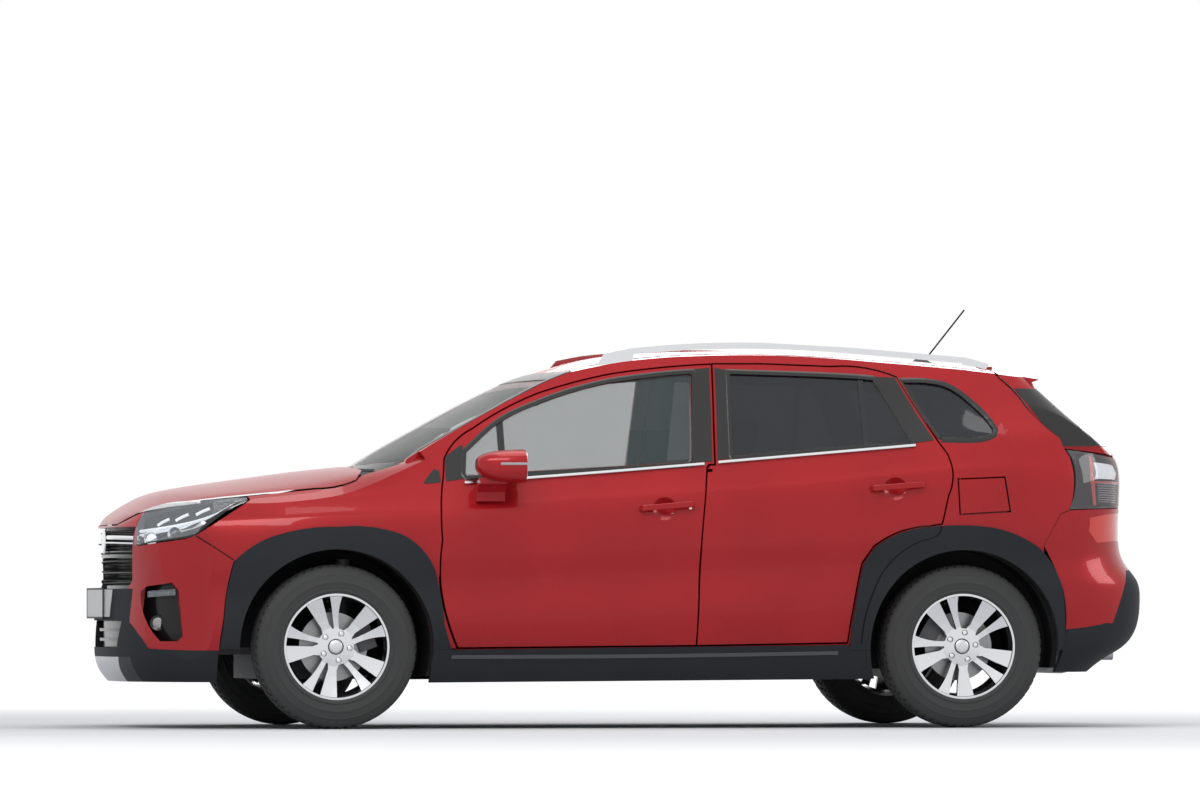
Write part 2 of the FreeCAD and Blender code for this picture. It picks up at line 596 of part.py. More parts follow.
# Roof, windscreen and scuttle
roof = roof_skin(0).cut(roof_skin(28)).common(box(-400, 1536, -700, 700, 1380, 1700)).common(screen_skin(6))
body_top = outer.common(mirror(outer))
roof = roof.common(body_top).cut(walls[0]).cut(walls[1])
GATE_AXIS = (1543.0, 1495.0)
for side in (-1, 1):
    spans = [side * 330, side * 350, side * 376, side * 396]
    roof = roof.cut(rod_y(GATE_AXIS[0], GATE_AXIS[1], 12, min(spans), max(spans)))
    for a, b in ((spans[0], spans[1]), (spans[2], spans[3])):
        roof = roof.fuse(rod_y(GATE_AXIS[0], GATE_AXIS[1], 6, min(a, b), max(a, b)))
        roof = roof.fuse(box(1515, GATE_AXIS[0], min(a, b), max(a, b), 1470, 1495))
    roof = roof.fuse(rod_y(GATE_AXIS[0], GATE_AXIS[1], 3.2, min(spans), max(spans)))
roof = max(roof.Solids, key=lambda k: k.Volume)
export("roof", roof)
screen = screen_skin(0).cut(screen_skin(GLASS)).common(box(-1200, 0, -760, 760, 1024, 1463)).common(body_top)
screen = screen.cut(prism([(-1100, 900)] + SIDE_WALL[1:10] + [(0, 1504), (0, 900)], -1000, 1000).common(
    walls[0].fuse(walls[1])))
screen = screen.cut(wing).cut(mirror(wing))
screen = max(screen.Solids, key=lambda k: k.Volume)
export("windscreen", screen)
cowl = bonnet_skin(24).common(prism_z([(-960, -660)] + [(x + 7, y) for x, y in REAR_ARC[3:-3]] + [(-960, 660)],
                                      985.3, 1200)).cut(screen_skin(-EDGE_FIT))
cowl = cowl.cut(walls[0]).cut(walls[1])
export("cowl", max(cowl.Solids, key=lambda k: k.Volume))

# Tailgate with its glass
GATE = [(1548, 1700), (1548, 1447), (1597, 1402), (1647, 1332), (1707, 1252), (1778, 1194), (1794, 1151),
        (1900, 1139), (2012, 1123), (2300, 1108), (2300, 1700)]
SPOILER = [(1552, 1600), (1552, 1448), (1570, 1431), (1648, 1408), (1746, 1442), (1782, 1462), (1786, 1474), (1786, 1600)]
GATE_HALF = 500
shape_in = tail_back.common(roof_skin(40))
lip = prism(SPOILER, -575, 575)
upper = tail.common(prism(GATE, -900, 900)).common(roof_skin(0))
upper = upper.fuse(lip.common(roof_skin(0)))
lower = tail.common(box(1900, 2300, -GATE_HALF + SHUT_GAP, GATE_HALF - SHUT_GAP, 752, 1150))
gate = upper.fuse(lower).cut(shape_in)
REAR_GLASS_YZ = [(-590, 1165), (-520, 1385), (520, 1385), (590, 1165)]
rear_hole = prism_x([(-566, 1181), (-503, 1369), (503, 1369), (566, 1181)], 1600, 2300)
pane_zone = prism_x(REAR_GLASS_YZ, 1640, 2300)
tail_pane = wrap_volume(True, 3, TAIL_Z)
tail_pane_back = wrap_volume(True, 3 + GLASS, TAIL_Z)
back_pane = pane_zone.common(tail_pane).cut(tail_pane_back).cut(lip)
gate = gate.cut(rear_hole.cut(lip)).cut(pane_zone.cut(tail_pane_back).cut(lip))
for side in (-1, 1):
    a, b = sorted((side * 325, side * 401))
    gate = gate.cut(box(1500, GATE_AXIS[0] + 12, a, b, 1440, 1520))
    a, b = sorted((side * 352, side * 374))
    ear = rod_y(GATE_AXIS[0], GATE_AXIS[1], 6, a, b).fuse(box(GATE_AXIS[0], 1575, a, b, 1478, 1494))
    gate = gate.fuse(ear.cut(rod_y(GATE_AXIS[0], GATE_AXIS[1], 3.8, a, b)))
gate = max(gate.Solids, key=lambda k: k.Volume)
export("tailgate", gate)
export("tailgate_glass", max(back_pane.Solids, key=lambda k: k.Volume))
rear_shell = tail.cut(tail_back)
tail_lamp = prism(TAIL_LAMP, -1000, -GATE_HALF).common(rear_shell)
export("tail_lamps", both(max(tail_lamp.Solids, key=lambda k: k.Volume)))
REAR_BUMPER = [(1684, 748), (1757, 880), (1794, 893), (2037, 901), (2300, 901), (2300, 228), (1745, 228),
               (1779, 405), (1767, 558), (1729, 662)]
DARK_REAR = [(1700, 402), (1796, 405), (1957, 429), (1992, 429), (2073, 647), (2300, 655), (2300, 200), (1700, 200)]
PIPE = (-375.0, 300.0)
rear_bumper = prism(REAR_BUMPER, -1000, 1000).common(rear_shell)
rear_bumper = rear_bumper.cut(box(1900, 2300, -GATE_HALF, GATE_HALF, 745, 1000))
rear_bumper = rear_bumper.cut(arch_room[1]).cut(mirror(arch_room[1]))
low_rear = rear_bumper.common(prism(DARK_REAR, -1000, 1000))
low_rear = low_rear.cut(Part.makeCylinder(PIPE_R + PIPE_AIR, 400, V(1850, PIPE[0], PIPE[1]), V(1, 0, 0)))
low_rear = max(low_rear.Solids, key=lambda k: k.Volume)
rear_bumper = rear_bumper.cut(prism(DARK_REAR, -1000, 1000, d=EDGE_FIT))
reflect_zone = rear_shell.cut(wrap_volume(True, 12, TAIL_Z))
reflector = prism(REFLECTOR, -1000, -520).common(reflect_zone)
room = prism(REFLECTOR, -1000, -520 + EDGE_FIT, d=EDGE_FIT).cut(wrap_volume(True, 12 + EDGE_FIT, TAIL_Z))
rear_bumper = rear_bumper.cut(room).cut(mirror(room))
export("rear_bumper", max(rear_bumper.Solids, key=lambda k: k.Volume))
export("reflectors", both(reflector))
plate = box(2060, 2112, -260, 260, 880, 992).cut(wrap_volume(True, -EDGE_FIT, TAIL_Z))
export("rear_plate", max(plate.Solids, key=lambda k: k.BoundBox.XMax))

# Sill and arch cladding
clad = side_volume(even(-12)).cut(side_volume(even(CLAD_IN)))
sill_out = side_volume(even(-14)).cut(side_volume(even(SILL_IN)))
arches = []
for outline, axle in ((FRONT_ARCH, AXLE_F), (REAR_ARCH, AXLE_R)):
    arch = prism(outline, -1000, -600).common(clad).cut(rod_y(axle, AXLE_Z, ARCH_R, -1100, 0))
    arch = arch.cut(prism(SILL, d=EDGE_FIT))
    arches += [k for k in arch.Solids if k.Volume > 100000]
export("arch_cladding", arches + [mirror(k) for k in arches])
sill = prism(SILL, -1000, -600).common(sill_out)
for axle in (AXLE_F, AXLE_R):
    sill = sill.cut(rod_y(axle, AXLE_Z, ARCH_R, -1100, 0))
    sill = sill.cut(rod_y(axle, AXLE_Z, ARCH_R + 15 + EDGE_FIT, -800 - EDGE_FIT, 0))
export("sill_cladding", both(sill) + [low_front, low_rear])

# Floor, bulkhead, wheel houses, rails and the frame behind the tailgate
floor = box(-1000, 1010, -740, 740, 215, 245).fuse(box(-1000, -970, -740, 740, 215, 985))
floor = floor.fuse(box(980, 1010, -600, 600, 215, 430)).fuse(box(980, 2020, -600, 600, 400, 430))
left_floor = floor.common(box(-3000, 3000, -1000, 0, 0, 2000))
left_floor = left_floor.cut(rod_y(AXLE_F, AXLE_Z, ARCH_R, -1100, -470)).cut(
    rod_y(AXLE_R, AXLE_Z, ARCH_R, -1100, -605))
house = rod_y(AXLE_R, AXLE_Z, ARCH_R + 20, -745, -585).cut(rod_y(AXLE_R, AXLE_Z, ARCH_R, -1100, -605))
left_floor = left_floor.fuse(house.common(box(900, 1800, -800, 0, 245, 800)))
house = rod_y(AXLE_F, AXLE_Z, ARCH_R + 15, -800, -455).cut(rod_y(AXLE_F, AXLE_Z, ARCH_R, -1100, -470))
room = box(-1700, -990, -810, 0, 330, 800).fuse(box(-1224, -830, -810, 0, 215, 800))
left_floor = left_floor.fuse(house.common(room))
left_floor = left_floor.fuse(box(-2100, -980, -455, -395, 360, 480).common(wrap_volume(False, 96 + EDGE_FIT, NOSE_Z)))
left_floor = left_floor.cut(walls[0])
bracket = box(-1050, -985, -714, -698, 960, 1012).fuse(rod_y(HOOD_AXIS[0], HOOD_AXIS[1], 6, -700, -668))
left_floor = left_floor.fuse(bracket).cut(rod_y(AXLE_R, AXLE_Z, 60, -700, -560))
floor_all = left_floor.fuse(mirror(left_floor))
export("floor_pan", floor_all)
post = box(1700, 1960, -640, -506, 430, 1090).fuse(box(1960, 2020, -640, 0, 430, 700))
post = post.common(side_volume(even(24))).cut(walls[0])
post = post.cut(rod_y(AXLE_R, AXLE_Z, ARCH_R + 20 + EDGE_FIT, -800, -500))
export("rear_frame", post.fuse(mirror(post)))
beam = wrap_volume(False, 56, NOSE_Z).cut(wrap_volume(False, 96, NOSE_Z))
export("bumper_beam", beam.common(box(-2300, -1700, -620, 620, 440, 560)))
export("radiator", box(-1960, -1925, -394.7, 394.7, 330, 800))
export("engine_block", box(-1850, -1300, -330, 330, 300, 830))


# Wheels: tyre, and the rim with its disc
def ring(profile, x, y, z):
    """Body of turning about the line along Y, from (radius, y) points."""
    points = [V(x + r, y + a, z) for r, a in profile]
    face = Part.Face(Part.makePolygon(points + [points[0]]))
    return face.revolve(V(x, 0, z), V(0, 1, 0), 360)


def tyre(x, y):
    w = TYRE_W / 2
    pts = [(RIM_R, -w + 12), (RIM_R + 30, -w), (285, -w), (318, -w + 14), (TYRE_R, -w + 34), (TYRE_R, w - 34),
           (318, w - 14), (285, w), (RIM_R + 30, w), (RIM_R, w - 12)]
    return ring(pts, x, y, AXLE_Z)


def polar(points, x, y0, y1):
    """Flat outline in the wheel's plane, as (radius, angle), made into a prism."""
    flat = [(x + r * math.cos(math.radians(a)), AXLE_Z + r * math.sin(math.radians(a))) for r, a in points]
    return prism(flat, y0, y1)


BORE = 28.6
FACE = [(BORE, 30), (BORE, 66), (58, 64), (80, 62), (120, 66), (165, 76), (208, 88), (208, 64), (165, 50),
        (120, 42), (80, 36)]
BROAD = [(40, 88), (62, 97), (95, 107), (208, 107), (208, 126.5), (95, 128), (62, 140), (40, 150)]
BLADE = [(60, 74), (120, 85), (208, 83.5), (208, 97.5), (120, 96), (60, 96)]


def rim(x, y, turn):
    """Left rim with its brake disc, the face outward."""
    def lathe(profile):
        return ring([(r, -a) for r, a in profile], x, y, AXLE_Z)

    body = lathe([(RIM_R - EDGE_FIT, -95), (RIM_R - EDGE_FIT, 95), (207, 95), (197, 60), (192, -60), (206, -95)])
    plate = lathe(FACE)
    star = rod_y(x, AXLE_Z, 74, y - 120, y + 60)
    for k in range(5):
        for outline in (BROAD, BLADE):
            star = star.fuse(polar([(r, a + 72 * k + turn) for r, a in outline], x, y - 120, y + 60))
    body = body.fuse(plate.common(star)).fuse(lathe([(BORE, 20), (74, 20), (74, 40), (BORE, 40)]))
    body = body.fuse(lathe([(0, 58), (30, 58), (30, 66), (0, 68)]))
    for k in range(5):
        a = math.radians(72 * k + 66 + turn)
        bolt_x = x + LUG_PCD / 2 * math.cos(a)
        bolt_z = AXLE_Z + LUG_PCD / 2 * math.sin(a)
        body = body.cut(rod_y(bolt_x, bolt_z, 13, y - 200, y - 44))
    disc = lathe([(30, 19.7), (72, 19.7), (72, -10), (140, -10), (140, -32), (62, -32), (62, 10), (30, 10)])
    return [body, disc]


def caliper(x, y, angle):
    """Left caliper over the disc's edge, clear of it all round."""
    c = box(x + 96, x + 168, y - 12, y + 60, AXLE_Z - 60, AXLE_Z + 60)
    c = c.cut(box(x, x + 146, y + 5, y + 37, AXLE_Z - 90, AXLE_Z + 90))
    c = c.fuse(box(x + 20, x + 130, y + 38, y + 54, AXLE_Z - 30, AXLE_Z + 30))
    c.rotate(V(x, 0, AXLE_Z), V(0, 1, 0), -angle)
    return c


for end, axle, track, turn in (("front", AXLE_F, TRACK_F, 0), ("rear", AXLE_R, TRACK_R, 12)):
    tyre_left = tyre(axle, -track / 2)
    rim_left = rim(axle, -track / 2, turn)
    export(end + "_tyre_left", tyre_left)
    export(end + "_rim_left", rim_left)
    export(end + "_tyre_right", mirror(tyre_left))
    export(end + "_rim_right", [mirror(k) for k in rim_left])

# Knuckles, each with its hub pin and caliper
block = box(AXLE_F - 34, AXLE_F + 34, -727, -676, 236, 460)
hub_pin = rod_y(AXLE_F, AXLE_Z, 28, -TRACK_F / 2 - 50, -700)
knuckle = block.fuse(hub_pin).fuse(caliper(AXLE_F, -TRACK_F / 2, 20))
PIN = 10.0
knuckle = knuckle.cut(Part.makeCylinder(PIN + 0.6, 20, V(AXLE_F, -KINGPIN_Y, 236)))
knuckle = knuckle.cut(Part.makeCylinder(PIN + 0.6, 20, V(AXLE_F, -KINGPIN_Y, 440)))
export("front_knuckle_left", knuckle)
export("front_knuckle_right", mirror(knuckle))

# Suspension, rear axle, exhaust, tank
arm = box(AXLE_F - 20, AXLE_F + 20, -700, -394, 196, 226).fuse(Part.makeCylinder(20, 30, V(AXLE_F, -KINGPIN_Y, 196)))
arm = arm.fuse(Part.makeCylinder(PIN, 26, V(AXLE_F, -KINGPIN_Y, 226)))
arm = arm.fuse(box(AXLE_F + 10, AXLE_F + 100, -560, -520, 196, 226))
arm = arm.fuse(Part.makeCylinder(20, 300, V(AXLE_F + 70, -545, 220)))
arm = arm.fuse(Part.makeCylinder(38, 250, V(AXLE_F + 70, -545, 440)))
arm = arm.cut(rod_y(AXLE_F, AXLE_Z, 900, -800, 0).cut(rod_y(AXLE_F, AXLE_Z, ARCH_R - EDGE_FIT, -800, 0)))
high = box(AXLE_F - 20, AXLE_F + 20, -700, -470.3, 470, 490)
high = high.fuse(Part.makeCylinder(20, 20, V(AXLE_F, -KINGPIN_Y, 470)))
high = high.fuse(Part.makeCylinder(PIN, 26, V(AXLE_F, -KINGPIN_Y, 444)))
subframe = box(-1500, -1050, -394, 394, 200, 300).fuse(arm).fuse(mirror(arm))
export("front_suspension", [subframe] + both(high))
beam = rod_y(AXLE_R, AXLE_Z, 38, -650, 650).fuse(rod_y(AXLE_R, AXLE_Z, 28, -TRACK_R / 2 - 50, TRACK_R / 2 + 50))
rear_caliper = caliper(AXLE_R, -TRACK_R / 2, 150)
beam = beam.fuse(rear_caliper).fuse(mirror(rear_caliper))
for side in (-1, 1):
    y = side * 520
    beam = beam.fuse(Part.makeCylinder(45, 66, V(AXLE_R, y, AXLE_Z)))
export("rear_axle", beam)
pipe = Part.makeCylinder(PIPE_R, 235, V(1850, PIPE[0], PIPE[1]), V(1, 0, 0))
export("exhaust", rod_y(1850, 309.7, 90, -420, 120).fuse(pipe))
export("fuel_tank", box(1015, 1290, -420, 420, 240, 399.7))

# Cabin
def rounded(solid, r):
    return solid.makeFillet(r, solid.Edges)


seat = []
for side in (-1, 1):
    y = side * 360
    base = rounded(box(-200, 320, y - 240, y + 240, 245, 500), 40)
    back = rounded(prism([(250, 440), (380, 440), (528, 1150), (422, 1150)], y - 240, y + 240), 38)
    head = rounded(prism([(430, 1110), (520, 1110), (560, 1290), (480, 1290)], y - 120, y + 120), 30)
    seat += [base.fuse(back).fuse(head)]
export("front_seats", seat)
bench = rounded(box(800, 1200, -560, 560, 430, 600), 40)
bench = bench.fuse(rounded(prism([(1150, 500), (1280, 500), (1406, 1150), (1304, 1150)], -560, 560), 36))
export("rear_bench", bench)
dash = prism([(-970, 640), (-970, 985), (-900, 1010), (-640, 960), (-600, 860), (-700, 640)], -635, 635)
export("dashboard", dash)
COLUMN = V(-0.9, 0, -0.43)
HELM = V(-440, -360, 930)
helm = Part.makeTorus(180, 15, HELM, COLUMN)
helm = helm.fuse(Part.makeCylinder(60, 45, HELM, COLUMN)).fuse(Part.makeCylinder(25, 260, HELM, COLUMN))
bar = box(-12, 12, -176, 176, -8, 8)
bar.rotate(V(0, 0, 0), V(0, 1, 0), 65)
bar.translate(HELM)
helm = helm.fuse(bar).cut(dash)
export("steering_wheel", max(helm.Solids, key=lambda k: k.Volume))

# Roof rails and mast
RAIL = [(-128, 1500), (-100, 1536), (0, 1556), (267, 1578), (554, 1583), (918, 1565), (1413, 1526), (1510, 1500),
        (1480, 1440), (1400, 1440), (1400, 1502), (918, 1541), (554, 1558), (267, 1553), (20, 1533), (0, 1440),
        (-128, 1440)]
rail = prism(RAIL, -606, -574).cut(roof_skin(-EDGE_FIT)).cut(side_volume(even(-EDGE_FIT)))
export("roof_rails", both(max(rail.Solids, key=lambda k: k.Volume)))
mast = Part.makeCylinder(3.5, 300, V(1351, 0, 1508), V(189, 0, 236)).fuse(Part.makeSphere(14, V(1356, 0, 1517)))
export("antenna", mast.cut(roof_skin(-EDGE_FIT)))
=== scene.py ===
import json
import math

import bmesh
import bpy
from mathutils import Matrix, Vector
from mathutils.bvhtree import BVHTree

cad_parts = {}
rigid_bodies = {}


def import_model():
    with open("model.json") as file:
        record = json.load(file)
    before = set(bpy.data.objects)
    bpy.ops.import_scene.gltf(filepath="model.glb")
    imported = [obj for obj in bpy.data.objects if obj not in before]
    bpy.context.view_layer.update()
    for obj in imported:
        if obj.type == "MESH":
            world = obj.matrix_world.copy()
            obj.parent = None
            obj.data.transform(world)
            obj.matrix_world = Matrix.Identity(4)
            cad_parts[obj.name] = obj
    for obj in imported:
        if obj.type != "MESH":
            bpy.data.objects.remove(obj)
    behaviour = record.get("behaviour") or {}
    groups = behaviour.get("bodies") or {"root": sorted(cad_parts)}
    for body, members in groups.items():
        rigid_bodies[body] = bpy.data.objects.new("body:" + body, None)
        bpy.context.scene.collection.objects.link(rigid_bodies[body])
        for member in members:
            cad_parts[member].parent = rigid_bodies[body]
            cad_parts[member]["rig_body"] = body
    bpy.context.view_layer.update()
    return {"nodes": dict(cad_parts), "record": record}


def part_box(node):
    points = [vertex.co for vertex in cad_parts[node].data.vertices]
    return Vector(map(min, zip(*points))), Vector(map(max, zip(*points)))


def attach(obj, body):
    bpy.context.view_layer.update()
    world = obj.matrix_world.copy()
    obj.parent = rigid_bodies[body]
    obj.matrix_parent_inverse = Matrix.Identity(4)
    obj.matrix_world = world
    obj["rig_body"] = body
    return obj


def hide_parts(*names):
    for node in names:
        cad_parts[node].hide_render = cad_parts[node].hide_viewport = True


bl_info = {
    "name": "Crossover car looks",
    "version": (1, 0, 0),
    "blender": (4, 5, 0),
    "location": "3D View > Sidebar > Crossover",
    "description": "Finishes and fine pieces for the crossover car frame",
    "category": "Object",
}

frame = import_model()
NODES = frame["nodes"]
SHIFT = -0.030
AXLE_F = -1.250 + SHIFT
AXLE_R = 1.350 + SHIFT
AXLE_Z = 0.334
AXLES = (("front", AXLE_F, 1.535), ("rear", AXLE_R, 1.505))  # end, place along the car, track
SIDES = (("left", -1), ("right", 1))
LEFT, RIGHT = Vector((0, -1, 0)), Vector((0, 1, 0))
FRONT, REAR = Vector((-1, 0, 0)), Vector((1, 0, 0))
UP, DOWN = Vector((0, 0, 1)), Vector((0, 0, -1))
FOCAL_PIXELS, PHOTO_WIDTH = 9370, 1200  # of the camera fitted to the photograph
BLACK, WHITE = (0.0, 0.0, 0.0), (1.0, 1.0, 1.0)
PLACE, FACING = 3, 1  # outputs of the coordinate node
FAR = 3.0  # rays at the nose, tail and roof start this far out
BESIDE = -1.3  # and rays at the left flank here
CORNER = 0.87  # cosine of the bend that counts as a corner
SEAL_EDGE, SEAL_LIFT = 0.0004, 0.0022
BELT_FOOT = 0.016
NUT_CIRCLE, VALVE_CIRCLE = 0.05715, 0.188


# Shader helpers
class Sock:
    """A node socket that can be used in Python sums."""

    def __init__(self, tree, out):
        self.tree = tree
        self.out = out

    def sum(self, op, *values):
        """Math node fed with sockets and plain numbers."""
        n = self.tree.nodes.new("ShaderNodeMath")
        n.operation = op
        for socket, value in zip(n.inputs, values):
            if isinstance(value, Sock):
                self.tree.links.new(value.out, socket)
            else:
                socket.default_value = value
        return Sock(self.tree, n.outputs[0])

    __add__ = __radd__ = lambda self, b: self.sum("ADD", self, b)
    __sub__ = lambda self, b: self.sum("SUBTRACT", self, b)
    __rsub__ = lambda self, a: self.sum("SUBTRACT", a, self)
    __mul__ = __rmul__ = lambda self, b: self.sum("MULTIPLY", self, b)
    __gt__ = lambda self, b: self.sum("GREATER_THAN", self, b)
    __lt__ = lambda self, b: self.sum("LESS_THAN", self, b)
    either = lambda self, b: self.sum("MAXIMUM", self, b)
    fold = lambda self: self.sum("ABSOLUTE", self)
    root = lambda self: self.sum("SQRT", self)
    wave = lambda self: self.sum("SINE", self)

    def smooth(self, low, high):
        n = self.tree.nodes.new("ShaderNodeMapRange")
        n.interpolation_type = "SMOOTHSTEP"
        self.tree.links.new(self.out, n.inputs["Value"])
        n.inputs["From Min"].default_value = low
        n.inputs["From Max"].default_value = high
        return Sock(self.tree, n.outputs[0])


class Finish:
    """A material built round one Principled shader."""
    made = {}  # by name: the frame's own flat materials carry some of the same names

    def __init__(self, name, **fixed):
        self.material = self.made[name] = bpy.data.materials.new(name)
        self.material.use_nodes = True
        self.tree = self.material.node_tree
        self.bsdf = self.tree.nodes["Principled BSDF"]
        for key, value in fixed.items():
            self.put(self.bsdf.inputs[key.replace("_", " ").title().replace("Ior", "IOR")], value)

    def put(self, socket, value):
        if isinstance(value, Sock):
            self.tree.links.new(value.out, socket)
        elif isinstance(value, (tuple, list)) and len(value) == 3 and socket.type == "RGBA":
            socket.default_value = (*value, 1.0)
        else:
            socket.default_value = value

    def node(self, kind, output=0, **values):
        n = self.tree.nodes.new("ShaderNode" + kind)
        for key, value in values.items():
            self.put(n.inputs[key.replace("_", " ").title()], value)
        return Sock(self.tree, n.outputs[output])

    def place(self):
        return self.node("TexCoord", output=PLACE)

    def axes(self, what=PLACE):
        """Three parts of a point's place, or of the way its face looks."""
        n = self.tree.nodes.new("ShaderNodeSeparateXYZ")
        self.tree.links.new(self.node("TexCoord", output=what).out, n.inputs[0])
        return [Sock(self.tree, k) for k in n.outputs]

    def noise(self, scale, detail=2.0, rough=0.5):
        return self.node("TexNoise", Vector=self.place(), Scale=scale, Detail=detail, Roughness=rough)

    def mix(self, factor, a, b):
        n = self.tree.nodes.new("ShaderNodeMix")
        n.data_type = "RGBA"
        for i, value in ((0, factor), (6, a), (7, b)):
            self.put(n.inputs[i], value)
        return Sock(self.tree, n.outputs[2])

    def bump(self, height, strength, distance):
        return self.node("Bump", Height=height, Strength=strength, Distance=distance)

    def set(self, **values):
        for key, value in values.items():
            self.put(self.bsdf.inputs[key.replace("_", " ").title()], value)
        return self


def tone(colour, share):
    """Colour made darker or lighter."""
    return [k * share for k in colour]


def paint(colours):
    """Metallic paint and lacquer outside, dark trim and pale lining on faces that look into the cabin."""
    f = Finish("body_paint", coat_roughness=0.02, specular_ior_level=0.12)
    x, y, z = f.axes()
    nx, ny, nz = f.axes(FACING)
    cloud = f.noise(3.0)
    flake = f.node("TexVoronoi", output=1, Vector=f.place(), Scale=1400.0)
    grey = f.node("SeparateColor", Color=flake)
    base = f.mix(cloud.smooth(0.3, 0.7), colours.paint_dark[:3], colours.paint[:3])
    lit = f.mix(grey.smooth(0.82, 1.0) * 0.16, base, colours.paint_flake[:3])
    inward = ((y * ny + y.fold() * 0.3) < 0.0).either((nx < -0.3) * (x > 1.4))
    inward = inward.either((y.fold() < 0.80) * (z < 0.74) * ((x - 0.02).fold() < 1.62))
    lining = (nz < -0.3) * (z > 1.25)
    weave = f.noise(420.0, 3.0)
    trim = f.mix(lining, f.mix(weave, (0.022, 0.022, 0.024), (0.036, 0.036, 0.038)),
                 f.mix(weave, (0.36, 0.355, 0.34), (0.46, 0.455, 0.44)))
    plain = inward.either(lining)
    outside = 1.0 - plain
    f.set(base_color=f.mix(plain, lit, trim), roughness=plain * 0.45 + 0.3 + 0.05 * cloud,
          metallic=outside * 0.25, coat_weight=outside * 0.42)


def alloy():
    """Two-tone rim: machined silver spoke faces, gloss-black pockets, steel brake disc."""
    f = Finish("alloy", coat_weight=0.5)
    x, y, z = f.axes()
    facing = f.axes(FACING)[1].fold()
    out = (x - (AXLE_F + AXLE_R) / 2).fold() - (AXLE_R - AXLE_F) / 2
    up = z - AXLE_Z
    r = (out * out + up * up).root()
    disc = (r < 0.145) * (y.fold() < 0.77)
    face = (facing > 0.75) * (y.fold() > 0.795)
    turned = (r * 5200.0).wave() * 0.5 + 0.5
    silver = f.mix(turned, (0.60, 0.61, 0.63), (0.78, 0.79, 0.81))
    worn = f.mix(turned, (0.26, 0.26, 0.27), (0.38, 0.38, 0.39))
    bright = face.either(disc)
    f.set(base_color=f.mix(bright, (0.006, 0.006, 0.007), f.mix(disc, silver, worn)),
          metallic=bright, roughness=0.16 + 0.1 * bright * turned + 0.15 * disc)


def lip():
    """Front lip: satin silver in the middle, black at both ends."""
    f = Finish("skid_lip")
    _, y, z = f.axes()
    grain = f.noise(500.0, 4.0)
    ends = (y.fold() - z * 0.5).smooth(0.222, 0.226)
    silver = f.mix(grain, (0.50, 0.51, 0.53), (0.60, 0.61, 0.63))
    f.set(base_color=f.mix(ends, silver, (0.020, 0.022, 0.026)), metallic=(1.0 - ends) * 0.8,
          roughness=0.34 + 0.28 * ends + 0.05 * grain)


def rubber():
    f = Finish("tyre_rubber", specular_ior_level=0.015)
    grain = f.noise(350.0, 4.0)
    dust = f.noise(7.0, 3.0)
    f.set(base_color=f.mix(dust, (0.004, 0.004, 0.005), (0.010, 0.010, 0.010)), roughness=0.7 + 0.12 * dust,
          normal=f.bump(grain, 0.35, 0.0004))


def cloth(name, colour):
    """Woven seat cloth: three crossing sets of threads."""
    f = Finish(name, roughness=0.85, sheen_weight=0.25)
    threads = 2600.0
    x, y, z = f.axes()
    weave = ((x * threads).wave() + (z * threads).wave() + (y * threads).wave()) * 0.16 + 0.5
    f.set(base_color=f.mix(weave, tone(colour, 0.7), tone(colour, 1.2)), normal=f.bump(weave, 0.4, 0.0004))


def glass(name, tint, alpha):
    """Thin tinted pane: mostly see-through, glossy face."""
    f = Finish(name, coat_weight=0.3, alpha=alpha)
    dust = f.noise(9.0, 4.0)
    f.set(base_color=f.mix(dust, tint, tone(tint, 0.85)), roughness=0.02 + 0.02 * dust)


def plastic(name, colour, rough, grain=900.0, depth=0.00012, coat=0.0):
    """Moulded plastic with a fine leather grain."""
    f = Finish(name, coat_weight=coat, specular_ior_level=0.14)
    pits = f.node("TexVoronoi", Vector=f.place(), Scale=grain)
    cloud = f.noise(6.0, 3.0)
    f.set(base_color=f.mix(cloud, tone(colour, 0.82), tone(colour, 1.15)), roughness=rough + 0.08 * cloud,
          normal=f.bump(pits, 0.5, depth))


def metal(name, colour, rough, scratch=0.12):
    f = Finish(name, metallic=1.0)
    grain = f.noise(260.0, 5.0)
    f.set(base_color=f.mix(grain, tone(colour, 0.9), colour), roughness=rough + scratch * grain)


def lens(name, colour, alpha):
    f = Finish(name, roughness=0.03, coat_weight=0.6, alpha=alpha)
    f.set(base_color=f.mix(f.noise(12.0), colour, tone(colour, 0.92)))


def glow(name, colour, strength):
    """Clear or red light guide that shows a little light of its own."""
    f = Finish(name, roughness=0.12, coat_weight=0.8, emission_strength=strength)
    lit = f.mix(f.noise(60.0), colour, tone(colour, 0.85))
    f.set(base_color=lit, emission_color=lit)


